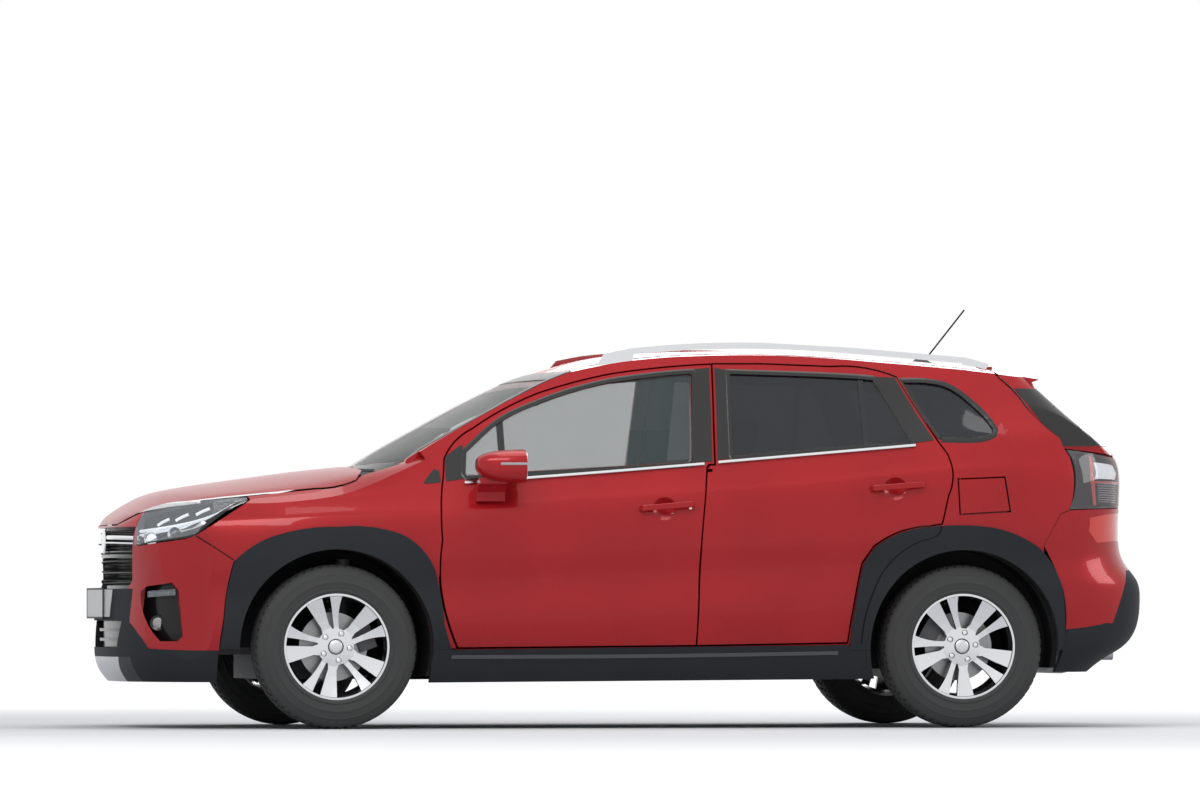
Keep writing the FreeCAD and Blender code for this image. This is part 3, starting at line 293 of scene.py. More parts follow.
def all_finishes(colours):
    paint(colours)
    alloy()
    lip()
    rubber()
    cloth("cloth", (0.045, 0.045, 0.05))
    for make, rows in (
            (glass, (("clear_glass", (0.10, 0.13, 0.13), 0.26),
                     ("dark_glass", (0.008, 0.010, 0.015), 0.76))),
            (plastic, (("black_plastic", (0.020, 0.022, 0.026), 0.62),
                       ("gloss_black", (0.006, 0.006, 0.007), 0.24, 200.0, 0.00002, 0.25),
                       ("plate_white", (0.62, 0.62, 0.60), 0.45, 500.0, 0.00003),
                       ("underbody", (0.022, 0.022, 0.024), 0.7, 300.0, 0.0003),
                       ("dash_plastic", (0.030, 0.030, 0.033), 0.7),
                       # Very dark matte black for real black parts, also worn by the strips that paint shade
                       # into panel gaps
                       ("inner_black", (0.006, 0.006, 0.007), 0.85, 300.0, 0.0002))),
            (metal, (("silver_trim", (0.72, 0.73, 0.75), 0.24),
                     ("steel", (0.45, 0.45, 0.46), 0.38),
                     ("cast_dark", (0.16, 0.16, 0.17), 0.55),
                     ("chrome", (0.86, 0.87, 0.88), 0.08, 0.04),
                     ("mirror_face", (0.80, 0.83, 0.85), 0.02, 0.01))),
            (lens, (("lamp_lens", (0.62, 0.66, 0.70), 0.20),
                    ("lamp_smoke", (0.16, 0.15, 0.16), 0.42),
                    ("lamp_red", (0.62, 0.016, 0.006), 0.92))),
            (glow, (("lamp_glow", (0.80, 0.84, 0.88), 0.7),
                    ("tail_glow", (0.60, 0.012, 0.010), 0.25)))):
        for row in rows:
            make(*row)


# Modelling helpers
def mode(name):
    bpy.ops.object.mode_set(mode=name)


def select_mesh():
    bpy.ops.mesh.select_all(action="SELECT")


def deselect():
    if bpy.context.object and bpy.context.object.mode != "OBJECT":
        mode("OBJECT")
    bpy.ops.object.select_all(action="DESELECT")


def pick(obj):
    deselect()
    obj.select_set(True)
    bpy.context.view_layer.objects.active = obj
    return obj


def dress(obj, name, body, finish, slot=None, shade=35):
    """Names a finished piece, gives it its finish and lets it ride."""
    pick(obj)
    bpy.ops.object.transform_apply(location=True, rotation=True, scale=True)
    obj.name = name
    obj.data.name = name
    obj.data.materials.clear()
    obj.data.materials.append(bpy.data.materials[finish])
    if shade:
        bpy.ops.object.shade_smooth_by_angle(angle=math.radians(shade))
    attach(obj, body)
    return obj


def modify(obj, kind, **settings):
    """Adds a modifier and applies it."""
    pick(obj)
    m = obj.modifiers.new(kind.lower(), kind)
    for key, value in settings.items():
        setattr(m, key, value)
    bpy.ops.object.modifier_apply(modifier=m.name)
    return obj


def pair(obj, *looks):
    """Dresses a piece of the left side and gives the right side a copy with its own mesh."""
    dress(obj, *looks)
    pick(obj)
    bpy.ops.object.duplicate(linked=False)
    copy = bpy.context.object
    copy.data.transform(Matrix.Diagonal((1, -1, 1, 1)))
    copy.data.flip_normals()
    copy.name = obj.name.replace("left", "right")
    copy.data.name = copy.name
    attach(copy, obj["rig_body"].replace("left", "right"))
    return [obj, copy]


def net(rows):
    """Sheet through rows of points, from a primitive grid."""
    deselect()
    count = len(rows) * len(rows[0])
    bpy.ops.mesh.primitive_grid_add(x_subdivisions=len(rows[0]) - 1, y_subdivisions=len(rows) - 1)
    obj = bpy.context.object
    if len(obj.data.vertices) != count:
        raise RuntimeError("grid has %d points, not %d" % (len(obj.data.vertices), count))
    obj.data.vertices.foreach_set("co", [c for row in rows for point in row for c in point])
    obj.data.update()
    return obj


def face_out(obj, way):
    """Turns the sheet's faces to look along a direction."""
    total = sum((p.normal * p.area for p in obj.data.polygons), Vector())
    if total.dot(Vector(way)) < 0:
        obj.data.flip_normals()
    return obj


def box(x, y, z, bevel=0.0, segments=2):
    """Block between pairs of limits, with rounded edges."""
    deselect()
    size = [b - a for a, b in (x, y, z)]
    middle = [(a + b) / 2 for a, b in (x, y, z)]
    bpy.ops.mesh.primitive_cube_add(size=1, location=middle, scale=size)
    obj = bpy.context.object
    bpy.ops.object.transform_apply(location=True, rotation=True, scale=True)
    if bevel:
        mode("EDIT")
        select_mesh()
        bpy.ops.mesh.bevel(offset=bevel, segments=segments, profile=0.5)
        mode("OBJECT")
    return obj


def lathe(profile, centre, steps, axis=(0, 1, 0)):
    """Turned piece from (radius, offset) points in millimetres: a point extruded along them, then spun."""
    deselect()
    axis = Vector(axis).normalized()
    side = axis.orthogonal().normalized()
    centre = Vector(centre)
    places = [centre + (side * r + axis * a) / 1000 for r, a in profile]
    bpy.ops.mesh.primitive_plane_add(size=0.001, location=places[0])
    obj = bpy.context.object
    bpy.ops.object.transform_apply(location=True, rotation=True, scale=True)
    mode("EDIT")
    select_mesh()
    bpy.ops.mesh.merge(type="CENTER")
    select_mesh()
    for a, b in zip(places, places[1:]):
        bpy.ops.mesh.extrude_region_move(TRANSFORM_OT_translate={"value": b - a})
    select_mesh()
    bpy.ops.mesh.spin(steps=steps, angle=math.tau, center=centre, axis=axis)
    select_mesh()
    bpy.ops.mesh.remove_doubles(threshold=0.00002)
    bpy.ops.mesh.normals_make_consistent(inside=False)
    mode("OBJECT")
    return obj


def merge(parts):
    """Joins pieces into the first."""
    deselect()
    for part in parts:
        part.select_set(True)
    bpy.context.view_layer.objects.active = parts[0]
    if len(parts) > 1:
        bpy.ops.object.join()
    return parts[0]


class Skin:
    """Finds places on the faces of some of the frame's pieces."""

    def __init__(self, *names):
        self.trees = []
        for name in names:
            mesh = NODES[name].data
            self.trees.append(BVHTree.FromPolygons([v.co.copy() for v in mesh.vertices],
                                                   [tuple(p.vertices) for p in mesh.polygons]))

    def hit(self, start, way, far=4.0):
        best = None
        for tree in self.trees:
            place, normal, _, gap = tree.ray_cast(Vector(start), Vector(way), far)
            if place and (best is None or gap < best[2]):
                best = (place, normal, gap)
        return best

    def at(self, start, way, move=(0, 0, 0)):
        """Place met from start, moved a little, or None where nothing is met."""
        found = self.hit(start, way)
        return found[0] + Vector(move) if found else None

    def front(self, y, z, lift=0.0):
        """Place on the nose at front view (y, z), moved forward."""
        return self.at((-FAR, y, z), REAR, FRONT * lift)

    def raised(self, start, way, lift):
        """Place met from start, raised off the face toward where the ray came from."""
        found = self.hit(start, way)
        if not found:
            return None
        place, normal, _ = found
        return place + normal.normalized() * lift * (-1 if normal.dot(way) > 0 else 1)

    def left(self, x, z, lift=0.0):
        """Place on the left flank at side view (x, z) of the outline."""
        return self.raised((x + SHIFT, BESIDE, z), RIGHT, lift)

    def back(self, y, z, lift=0.0):
        """Place on the tail at rear view (y, z)."""
        return self.raised((FAR, y, z), FRONT, lift)


def fill_gaps(points):
    """Replaces places that missed by their neighbours' line."""
    known = [i for i, p in enumerate(points) if p is not None]
    if not known:
        raise RuntimeError("no place found")
    out = []
    for i, p in enumerate(points):
        if p is None:
            before = max([k for k in known if k < i], default=known[0])
            after = min([k for k in known if k > i], default=known[-1])
            t = 0 if before == after else (i - before) / (after - before)
            p = points[before].lerp(points[after], t)
        out.append(p)
    return out


def spread(line, count, closed=False):
    """Evenly spaced points along a line that bends smoothly where it turns gently and keeps its corners."""
    pts = [Vector(p) for p in line]
    n = len(pts)

    def travel(i, later):
        """Direction at point i for the span after it, or for the span before it."""
        before = None if i == 0 and not closed else (pts[i] - pts[i - 1]).normalized()
        after = None if i == n - 1 and not closed else (pts[(i + 1) % n] - pts[i]).normalized()
        if before is None or after is None or before.dot(after) < CORNER:
            return after if later else before
        return (before + after).normalized()

    fine = []
    for i in range(n if closed else n - 1):
        j = (i + 1) % n
        a, b = pts[i], pts[j]
        gap = (b - a).length
        m0 = travel(i, True) * gap
        m1 = travel(j, False) * gap
        for k in range(16):
            t = k / 16
            fine.append(a * (2 * t ** 3 - 3 * t * t + 1) + m0 * (t ** 3 - 2 * t * t + t)
                        + b * (3 * t * t - 2 * t ** 3) + m1 * (t ** 3 - t * t))
    fine.append(pts[0] if closed else pts[-1])
    length = [0.0]
    for a, b in zip(fine, fine[1:]):
        length.append(length[-1] + (b - a).length)
    out = []
    k = 0
    for i in range(count):
        want = length[-1] * i / (count if closed else count - 1)
        while k < len(length) - 2 and length[k + 1] < want:
            k += 1
        t = (want - length[k]) / max(length[k + 1] - length[k], 1e-9)
        out.append(fine[k].lerp(fine[k + 1], min(max(t, 0), 1)))
    return out


# Operators
class SUV_OT_stage(bpy.types.Operator):
    """Floor, light and the camera at the photograph's angle"""
    bl_idname = "suv.stage"
    bl_label = "Stage"

    def execute(self, context):
        scene = context.scene
        scene.view_settings.view_transform = "Standard"
        deselect()
        bpy.ops.mesh.primitive_plane_add(size=160, location=(0, 0, 0))
        floor = context.object
        floor.name = "floor"
        f = Finish("floor_finish", roughness=0.9, specular_ior_level=0.1, emission_strength=1.0)
        grain = f.noise(40.0, 4.0)
        x, y, _ = f.axes()
        away = (x * x + y * y).root().smooth(2.6, 9.0)
        pale = f.mix(grain, (0.66, 0.66, 0.66), (0.70, 0.70, 0.70))
        f.set(base_color=f.mix(away, pale, BLACK), emission_color=f.mix(away, BLACK, WHITE))
        floor.data.materials.append(f.material)
        world = bpy.data.worlds.new("studio")
        scene.world = world
        world.use_nodes = True
        tree = world.node_tree
        tree.nodes.clear()
        path = tree.nodes.new("ShaderNodeLightPath")
        seen = Sock(tree, path.outputs["Is Camera Ray"])
        for ray in ("Is Transmission Ray", "Is Glossy Ray"):
            seen = seen.either(Sock(tree, path.outputs[ray]))
        mix = tree.nodes.new("ShaderNodeMixShader")
        out = tree.nodes.new("ShaderNodeOutputWorld")
        tree.links.new(seen.out, mix.inputs[0])
        for slot, colour, strength in ((1, (0.80, 0.86, 0.95), 0.50), (2, WHITE, 1.0)):
            sky = tree.nodes.new("ShaderNodeBackground")
            sky.inputs[0].default_value = (*colour, 1)
            sky.inputs[1].default_value = strength
            tree.links.new(sky.outputs[0], mix.inputs[slot])
        tree.links.new(mix.outputs[0], out.inputs[0])
        for name, place, aim, size, power in (
                ("key", (-4.0, -7.0, 6.5), (0, 0, 0.6), (7.0, 3.0), 400),
                ("top", (0.5, 0.0, 6.0), (0, 0, 0), (6.0, 4.0), 170),
                ("back", (3.5, 7.5, 4.0), (0, 0, 0.6), (6.0, 3.0), 230),
                ("side", (7.5, -3.0, 3.5), (1.5, 0, 0.6), (3.0, 2.5), 130)):
            lamp = bpy.data.lights.new(name, "AREA")
            lamp.shape = "RECTANGLE"
            lamp.size, lamp.size_y = size
            lamp.energy = power
            holder = bpy.data.objects.new(name, lamp)
            holder.location = place
            holder.rotation_euler = (Vector(aim) - Vector(place)).to_track_quat("-Z", "Y").to_euler()
            scene.collection.objects.link(holder)
        yaw, pitch = math.radians(10.05), math.radians(1.284)
        away = Vector((math.sin(yaw) * math.cos(pitch), math.cos(yaw) * math.cos(pitch), math.sin(pitch)))
        data = bpy.data.cameras.new("camera")
        data.sensor_width = 36
        data.lens = FOCAL_PIXELS / PHOTO_WIDTH * data.sensor_width
        data.clip_end = 300
        camera = bpy.data.objects.new("camera", data)
        camera.location = (-6.828 + SHIFT, -38.446, 0.483)
        camera.rotation_euler = away.to_track_quat("-Z", "Y").to_euler()
        scene.collection.objects.link(camera)
        scene.camera = camera
        return {"FINISHED"}


class SUV_OT_finishes(bpy.types.Operator):
    """Finishes for the frame's own pieces"""
    bl_idname = "suv.finishes"
    bl_label = "Finishes"

    def execute(self, context):
        all_finishes(context.scene.suv_colours)
        slots = {row["node"]: row["material_slot"] for row in frame["record"]["subparts"]}
        for name, obj in NODES.items():
            obj.data.materials.clear()
            finish = "skid_lip" if name == "skid_lip" else slots[name]
            obj.data.materials.append(Finish.made[finish])
        return {"FINISHED"}


# Side view outlines are in millimetres: x along the car before the frame's shift, z up
def flank(line, count, closed=False):
    """Evenly spaced points of a side view line, in metres."""
    return spread([(x / 1000, 0, z / 1000) for x, z in line], count, closed)


def between(first, last, share):
    """Line part of the way from one line to another."""
    return [(a + (c - a) * share, b + (d - b) * share) for (a, b), (c, d) in zip(first, last)]


def raised(line, by):
    return [(x, z + by) for x, z in line]


def shell(rows, way, thick):
    """Sheet through rows of points, facing along a direction, with its thickness behind it."""
    return modify(face_out(net(rows), way), "SOLIDIFY", thickness=thick, offset=-1)


def grid(rows, columns, find):
    """Place found for each row and column, with the gaps filled; a row that meets nothing is left out."""
    found = [[find(i, k) for k in range(columns)] for i in range(rows)]
    return [fill_gaps(row) for row in found if any(row)]


def across(find, half, steps, levels):
    """Rows of places from one side of the car to the other, one for each (height, lift)."""
    return grid(len(levels), steps + 1, lambda i, k: find(-half + 2 * half * k / steps, *levels[i]))


def band(lines, count, skin, lift, thick):
    """Strip on the left flank through side view lines."""
    return shell([fill_gaps([skin.left(p.x, p.z, lift) for p in flank(line, count)]) for line in lines],
                 LEFT, thick)


def grown(line, d):
    """Closed side view outline moved outward by d millimetres."""
    n = len(line)
    area = sum(line[i - 1][0] * line[i][1] - line[i][0] * line[i - 1][1] for i in range(n))
    sign = 1 if area > 0 else -1
    out = []
    for i in range(n):
        a, b, c = (Vector(line[k]) for k in (i - 1, i, (i + 1) % n))
        first = (b - a).normalized()
        second = (c - b).normalized()
        normal = Vector((first.y + second.y, -first.x - second.x)) * sign
        normal.normalize()
        share = max(normal.dot(Vector((first.y, -first.x)) * sign), 0.5)
        out.append(tuple(b + normal * (d / share)))
    return out


def bead(outline, count, frame_skin, pane_skin):
    """Raised seal round a window: level with the frame outside, down on the glass inside."""
    loops = [flank(grown(outline, d), count, True) for d in (11, 8, 2, -4, -8, -10)]
    feet = []
    for p in loops[0]:
        found = frame_skin.hit((p.x + SHIFT, BESIDE, p.z), RIGHT)
        feet.append(found[:2] if found and found[0].y < -0.4 else (feet[-1] if feet else None))
    feet = [foot or next(k for k in feet if k) for foot in feet]
    rows = []
    for k, loop in enumerate(loops[:-1]):
        row = []
        for p, (foot, normal) in zip(loop, feet):
            y = foot.y - (normal.x * (p.x + SHIFT - foot.x) + normal.z * (p.z - foot.z)) / normal.y
            row.append(Vector((p.x + SHIFT, y - (SEAL_EDGE if k == 0 else SEAL_LIFT), p.z)))
        rows.append(row)
    rows.append(fill_gaps([pane_skin.left(p.x, p.z, SEAL_EDGE) for p in loops[-1]]))
    obj = face_out(net([row + row[:1] for row in rows]), LEFT)
    modify(obj, "WELD", merge_threshold=0.00005)
    return modify(obj, "SOLIDIFY", thickness=0.001, offset=-1)


FRONT_GLASS = [(-707, 1022), (-718, 1036), (-707, 1130), (-547, 1262), (-391, 1333), (-248, 1383),
               (-105, 1419), (38, 1441), (253, 1462), (262, 1462), (240, 1092), (228, 1078)]
REAR_GLASS = [(400, 1104), (392, 1112), (404, 1462), (947, 1443), (1016, 1437), (1090, 1300), (1152, 1172),
              (1146, 1162), (947, 1150)]
QUARTER_GLASS = [(1262, 1182), (1180, 1330), (1136, 1428), (1234, 1427), (1321, 1409), (1407, 1349),
                 (1475, 1275), (1502, 1228), (1495, 1204), (1456, 1188)]
DOOR_F, DOOR_R = "front_door_left", "rear_door_left"
PANE_F, PANE_R = "front_door_glass_left", "rear_door_glass_left"
COVERS = (  # name, body, node below, one edge, other edge
    ("b_cover_front_left", DOOR_F, DOOR_F,
     [(254, 1470), (246, 1300), (229, 1086)], [(329, 1478), (322, 1300), (312, 1090)]),
    ("b_cover_rear_left", DOOR_R, DOOR_R,
     [(349, 1478), (344, 1300), (333, 1096)], [(410, 1466), (406, 1300), (400, 1104)]),
    ("c_cover_left", DOOR_R, DOOR_R,
     [(1008, 1443), (1082, 1303), (1146, 1166)], [(1103, 1440), (1156, 1335), (1240, 1180)]),
    ("c_cover_side_left", "body", "body_side_left",
     [(1122, 1440), (1170, 1343), (1252, 1188)], [(1146, 1432), (1190, 1338), (1272, 1186)]),
    ("sail_left", "body", "front_wings",
     [(-884, 1001), (-858, 1034), (-818, 1078)], [(-880, 997), (-850, 998), (-812, 1003)]),
    ("sail_door_left", DOOR_F, DOOR_F,
     [(-792, 1102), (-760, 1128), (-712, 1158)], [(-790, 1006), (-760, 1010), (-712, 1018)]))
BARS = (  # divider bars: name, body, pane, lines
    ("quarter_bar_front_left", DOOR_F, PANE_F,
     [[(-566, 1026), (-566, 1243)], [(-560, 1026), (-560, 1248)], [(-544, 1027), (-544, 1259)],
      [(-538, 1027), (-538, 1262)]]),
    ("quarter_bar_rear_left", DOOR_R, PANE_R,
     [[(946, 1152), (946, 1442)], [(950, 1152), (950, 1442)], [(965, 1154), (965, 1440)],
      [(969, 1154), (969, 1440)]]))


class SUV_OT_windows(bpy.types.Operator):
    """Seals, divider bars, black pillar covers and bright belt strips round the side windows"""
    bl_idname = "suv.windows"
    bl_label = "Windows"

    def execute(self, context):
        for name, body, home, pane, outline in (
                ("front", DOOR_F, DOOR_F, PANE_F, FRONT_GLASS),
                ("rear", DOOR_R, DOOR_R, PANE_R, REAR_GLASS),
                ("quarter", "body", "body_side_left", "quarter_glass", QUARTER_GLASS)):
            seal = bead(outline, 180, Skin(home), Skin(home, pane))
            pair(seal, name + "_seal_left", body, "gloss_black", "gloss_black")
        for name, body, home, first, last in COVERS:
            lines = [between(first, last, k / 10) for k in range(11)]
            cover = band(lines, 40, Skin(home, PANE_F, PANE_R, "quarter_glass"), 0.0016, 0.003)
            pair(cover, name, body, "gloss_black", "gloss_black")
        for name, body, pane, lines in BARS:
            pair(band(lines, 30, Skin(pane), 0.004, 0.004), name, body, "gloss_black", "gloss_black")
        high = context.scene.suv_sizes.belt_trim
        for name, body, line in (("belt_front_left", DOOR_F, [(-716, 998), (-200, 1037), (293, 1078)]),
                                 ("belt_rear_left", DOOR_R, [(334, 1083), (700, 1115), (1158, 1155)])):
            skin = Skin(body)
            feet = fill_gaps([skin.left(p.x, p.z - BELT_FOOT) for p in flank(line, 60)])
            profile = ((0.006, -0.001), (-0.003, 0.0), (-0.0045, high * 0.4), (-0.003, high), (0.006, high))
            rows = [[foot + Vector((0, out, BELT_FOOT + up)) for foot in feet] for out, up in profile]
            pair(shell(rows, LEFT, 0.002), name, body, "chrome")
        return {"FINISHED"}


TREAD = [(216.5, 95), (218.5, 100.5), (224, 103), (227.5, 105.2), (232, 105.2), (234.5, 103), (248, 105.8),
         (260, 107), (261.5, 107.8), (264, 107.8), (265.5, 107), (276, 106.8), (290, 104.8), (291.5, 105.5),
         (293.5, 105.2), (295, 103.6), (306, 99.8), (316, 94), (323, 88), (327.5, 81.5), (330, 74),
         (331.2, 66), (331.8, 58), (324.5, 57), (324.5, 51), (332.5, 50), (333.2, 38), (333.5, 27),
         (326, 26), (326, 19), (333.8, 18), (334, 6)]  # radius, offset from the tyre's middle


class SUV_OT_tyres(bpy.types.Operator):
    """Tyres with side rings, grooves and tread blocks"""
    bl_idname = "suv.tyres"
    bl_label = "Tyres"

    def execute(self, context):
        steps = 180
        tyre = lathe(TREAD + [(r, -a) for r, a in reversed(TREAD)], (0, 0, 0), steps)
        mode("EDIT")
        mesh = bmesh.from_edit_mesh(tyre.data)
        for face in mesh.faces:
            centre = face.calc_center_median()
            r = math.hypot(centre.x, centre.z)
            column = int((math.atan2(centre.z, centre.x) + math.tau) / math.tau * steps + 0.01) % 3
            outer_rib = 0.0585 < abs(centre.y) < 0.090 and r > 0.322
            middle_rib = 0.0275 < abs(centre.y) < 0.0495 and r > 0.331
            face.select = (outer_rib and column == 0) or (middle_rib and column == (1 if centre.y > 0 else 2))
        bmesh.update_edit_mesh(tyre.data)
        bpy.ops.mesh.extrude_region_shrink_fatten(TRANSFORM_OT_shrink_fatten={"value": -0.0045})
        mode("OBJECT")
        for end, axle, track in AXLES:
            for name, sign in SIDES:
                pick(tyre)
                bpy.ops.object.duplicate(linked=False)
                copy = bpy.context.object
                copy.location = (axle, sign * track / 2, AXLE_Z)
                piece = dress(copy, "%s_tyre_%s_tread" % (end, name), "%s_wheel_%s" % (end, name),
                              "tyre_rubber", "tyre_rubber", 30)
                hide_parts("%s_tyre_%s" % (end, name))
        bpy.data.objects.remove(tyre)
        return {"FINISHED"}


class SUV_OT_wheel_parts(bpy.types.Operator):
    """Wheel nuts, blank centre caps with their rings, and tyre valves"""
    bl_idname = "suv.wheel_parts"
    bl_label = "Wheel parts"

    def execute(self, context):
        for (end, axle, track), turn in zip(AXLES, (0, 12)):
            body = end + "_wheel_left"

            def place(radius=0.0, degrees=0, out=0.0):
                a = math.radians(degrees + turn)
                return (axle + radius * math.cos(a), -track / 2 - out, AXLE_Z + radius * math.sin(a))

            cap = lathe([(0, 72.2), (12, 72), (22, 70.8), (26.5, 69), (28.5, 66.2), (28.8, 60)],
                        place(), 48, LEFT)
            pair(cap, end + "_cap_left", body, "alloy", "alloy", 50)
            ring = lathe([(29.2, 60), (29.2, 68.2), (30, 69), (31.8, 69), (32.4, 68), (32.4, 60)],
                         place(), 48, LEFT)
            pair(ring, end + "_cap_ring_left", body, "gloss_black")
            nuts = []
            for k in range(5):
                deselect()
                bpy.ops.mesh.primitive_cylinder_add(vertices=6, radius=0.0098, depth=0.022,
                                                    location=place(NUT_CIRCLE, 72 * k + 66, 0.052),
                                                    rotation=(math.pi / 2, 0, 0))
                nuts.append(modify(bpy.context.object, "BEVEL", width=0.0018, segments=2))
            pair(merge(nuts), end + "_nuts_left", body, "chrome")
            stem = lathe([(0, 60), (3.5, 60), (4.2, 58), (4.2, 44), (3, 42), (3, 20)],
                         place(VALVE_CIRCLE, 100), 16, LEFT)
            pair(stem, end + "_valve_left", body, "tyre_rubber")
        return {"FINISHED"}


class Hollow:
    """Space behind a left lamp's face: t runs along the lamp, z goes up and deep inward, in millimetres."""

    def __init__(self, node, start, end):
        self.skin = Skin(node)
        self.start, self.end = (Vector((x + SHIFT, y, 0)) for x, y in (start, end))
        along = (self.end - self.start).normalized()
        self.way = Vector((-along.y, along.x, 0))
        if self.way.y < 0:
            self.way = -self.way

    def spot(self, t, z, deep):
        start = self.start.lerp(self.end, t) - self.way * 0.6 + Vector((0, 0, z / 1000))
        return self.skin.at(start, self.way, self.way * (deep / 1000))

    def sheet(self, lines, deep, count, thick=0.0015):
        """Sheet through (t, z) lines, each at its own depth."""
        return shell([fill_gaps([self.spot(p.x, p.z, d) for p in spread([(t, 0, z) for t, z in line], count)])
                      for line, d in zip(lines, deep)], -self.way, thick)


class SUV_OT_headlamps(bpy.types.Operator):
    """What shows inside the headlamps: bezel, projector, reflector, blades and the bright dividing bar"""
    bl_idname = "suv.headlamps"
    bl_label = "Headlamps"

    def execute(self, context):
        lamp = Hollow("front_lamps", (-2.040, -0.530), (-1.620, -0.800))
        low = [(0.0, 742), (0.25, 757), (0.5, 772), (0.62, 784), (0.72, 822), (0.80, 868), (0.98, 928)]
        high = [(0.0, 838), (0.15, 862), (0.35, 886), (0.55, 903), (0.75, 918), (0.88, 926), (0.99, 936)]
        third, mid, two = (between(low, high, share) for share in (0.34, 0.5, 0.67))
        bar = [(0.03, 796), (0.25, 806), (0.5, 824), (0.70, 850), (0.90, 905)]
        for name, finish, count, thick, lines, deep in (
                ("bezel", "gloss_black", 60, 0.0015, [mid, two, high], [37, 37, 26]),
                ("bowl", "chrome", 60, 0.0015, [low, third, mid], [24, 36, 37]),
                ("case", "inner_black", 60, 0.0015, [low, third, two, high], [34, 43, 43, 32]),
                ("edge", "gloss_black", 60, 0.0012, [raised(low, k) for k in (-3, 3, 7)],
                 [-0.6, -1.2, -0.6]),
                ("bar", "lamp_glow", 50, 0.003, [raised(bar, k) for k in (0, 7, 13)], [24, 12, 20])):
            pair(lamp.sheet(lines, deep, count, thick), "lamp_%s_left" % name, "body", finish)
        blades = []
        for t, z in ((0.24, 826), (0.42, 845), (0.60, 868)):
            line = [(t, z), (t + 0.05, z + 13), (t + 0.11, z + 25)]
            top = [(u - 0.012, v + 7) for u, v in line]
            blades.append(lamp.sheet([raised(line, -4), line, top], [22, 10, 18], 10, 0.004))
        pair(merge(blades), "lamp_blades_left", "body", "lamp_glow")
        for name, t, z, r in (("projector", 0.17, 770, 26), ("reflector", 0.42, 790, 28)):
            centre = lamp.spot(t, z, 34)
            bowl = lathe([(0, -4), (r * 0.5, -2), (r * 0.8, 4), (r, 14), (r * 1.12, 15), (r * 1.14, 6)],
                         centre, 40, -lamp.way)
            pair(bowl, "lamp_%s_left" % name, "body", "chrome", None, 50)
            if name == "projector":
                eye = lathe([(0, 17), (8, 16), (15, 12.5), (19, 7), (20, 0)], centre, 40, -lamp.way)
                pair(eye, "lamp_eye_left", "body", "lamp_glow", None, 60)
        side = [[(0.48, 784), (0.58, 792), (0.64, 808), (0.70, 838)],
                [(0.48, 806), (0.57, 814), (0.62, 826), (0.67, 846)]]
        pair(lamp.sheet(side, [20, 16], 24, 0.002), "lamp_side_left", "body", "silver_trim")
        return {"FINISHED"}


def plate_holder(plate, body):
    """Slim frame round a number plate, a little proud of its face."""
    low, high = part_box(plate)
    x = (low.x - 0.002, low.x + 0.006) if low.x < 0 else (high.x - 0.006, high.x + 0.002)
    inner, outer, rim = 0.2605, 0.268, 0.007
    bars = [box(x, y, z, 0.0015) for y, z in (
        ((-outer, outer), (high.z, high.z + rim)), ((-outer, outer), (low.z - rim, low.z)),
        ((-outer, -inner), (low.z - rim, high.z + rim)), ((inner, outer), (low.z - rim, high.z + rim)))]
    dress(merge(bars), plate + "_holder", body, "black_plastic", "black_plastic")


def grille_parts():
    """Fine mesh with the rows set off sideways in turn, and the bars across it."""
    back = Skin("grilles")

    def knot(i, k):
        step = 2 * (0.480 + 0.022 * i / 24) / 44
        return back.front(step * (k - 22 + 0.25 * (1 if i % 2 else -1)), 0.586 + 0.0093 * i, 0.006)

    mesh = face_out(net(grid(25, 45, knot)), FRONT)
    modify(mesh, "WIREFRAME", thickness=0.0042, use_even_offset=False)
    dress(mesh, "grille_mesh", "body", "gloss_black", "gloss_black", 0)
    half = 0.5
    for name, height, high, lift, finish in (("bright_bar", 0.776, 0.010, 0.018, "chrome"),
                                             ("bright_bar_low", 0.754, 0.004, 0.015, "chrome"),
                                             ("grille_bar_low", 0.700, 0.010, 0.012, "gloss_black")):
        def crown(y, share, extra):
            z = height + 0.006 * (1 - (y / half) ** 2)
            place = back.front(y, z)
            return Vector((place.x - lift - extra, y, z + high * share)) if place else None

        rows = across(crown, half, 40, ((-1, 0), (-0.8, 0.006), (0, 0.009), (0.8, 0.006), (1, 0)))
        dress(shell(rows, FRONT, 0.004), name, "body", finish)
    disc = lathe([(0, 6), (40, 5.5), (50, 4), (52.5, 0)],
                 Skin("grilles", "front_bumper", "skid_lip").front(0, 0.766, 0.026), 64, FRONT)
    dress(disc, "nose_disc", "body", "chrome", None, 50)


def nose_corners():
    """Small painted patch between the bumper's top and the bonnet's lower edge."""
    bumper = Skin("front_bumper")
    hood = Skin("bonnet")
    rows = []
    for k in range(25):
        y = -0.575 + 0.285 * k / 24
        below = [bumper.hit((-FAR, y, 0.80 + 0.002 * i), REAR, 1.25) for i in range(60)]
        above = [hood.hit((-FAR, y, 0.80 + 0.002 * i), REAR, 1.6) for i in range(80)]
        first = [p[0] for p in below if p]
        last = [p[0] for p in above if p]
        if first and last and last[0].z - first[-1].z > 0.008:
            top = last[0] - Vector((0, 0, 0.006))
            rows.append([first[-1].lerp(top, t) + FRONT * (0.004 * math.sin(math.pi * t))
                         for t in (0.0, 0.2, 0.4, 0.6, 0.8, 1.0)])
    if len(rows) > 2:
        pair(shell(rows, (-1, 0, 0.3), 0.003), "nose_corner_left", "body", "body_paint", "body_paint")


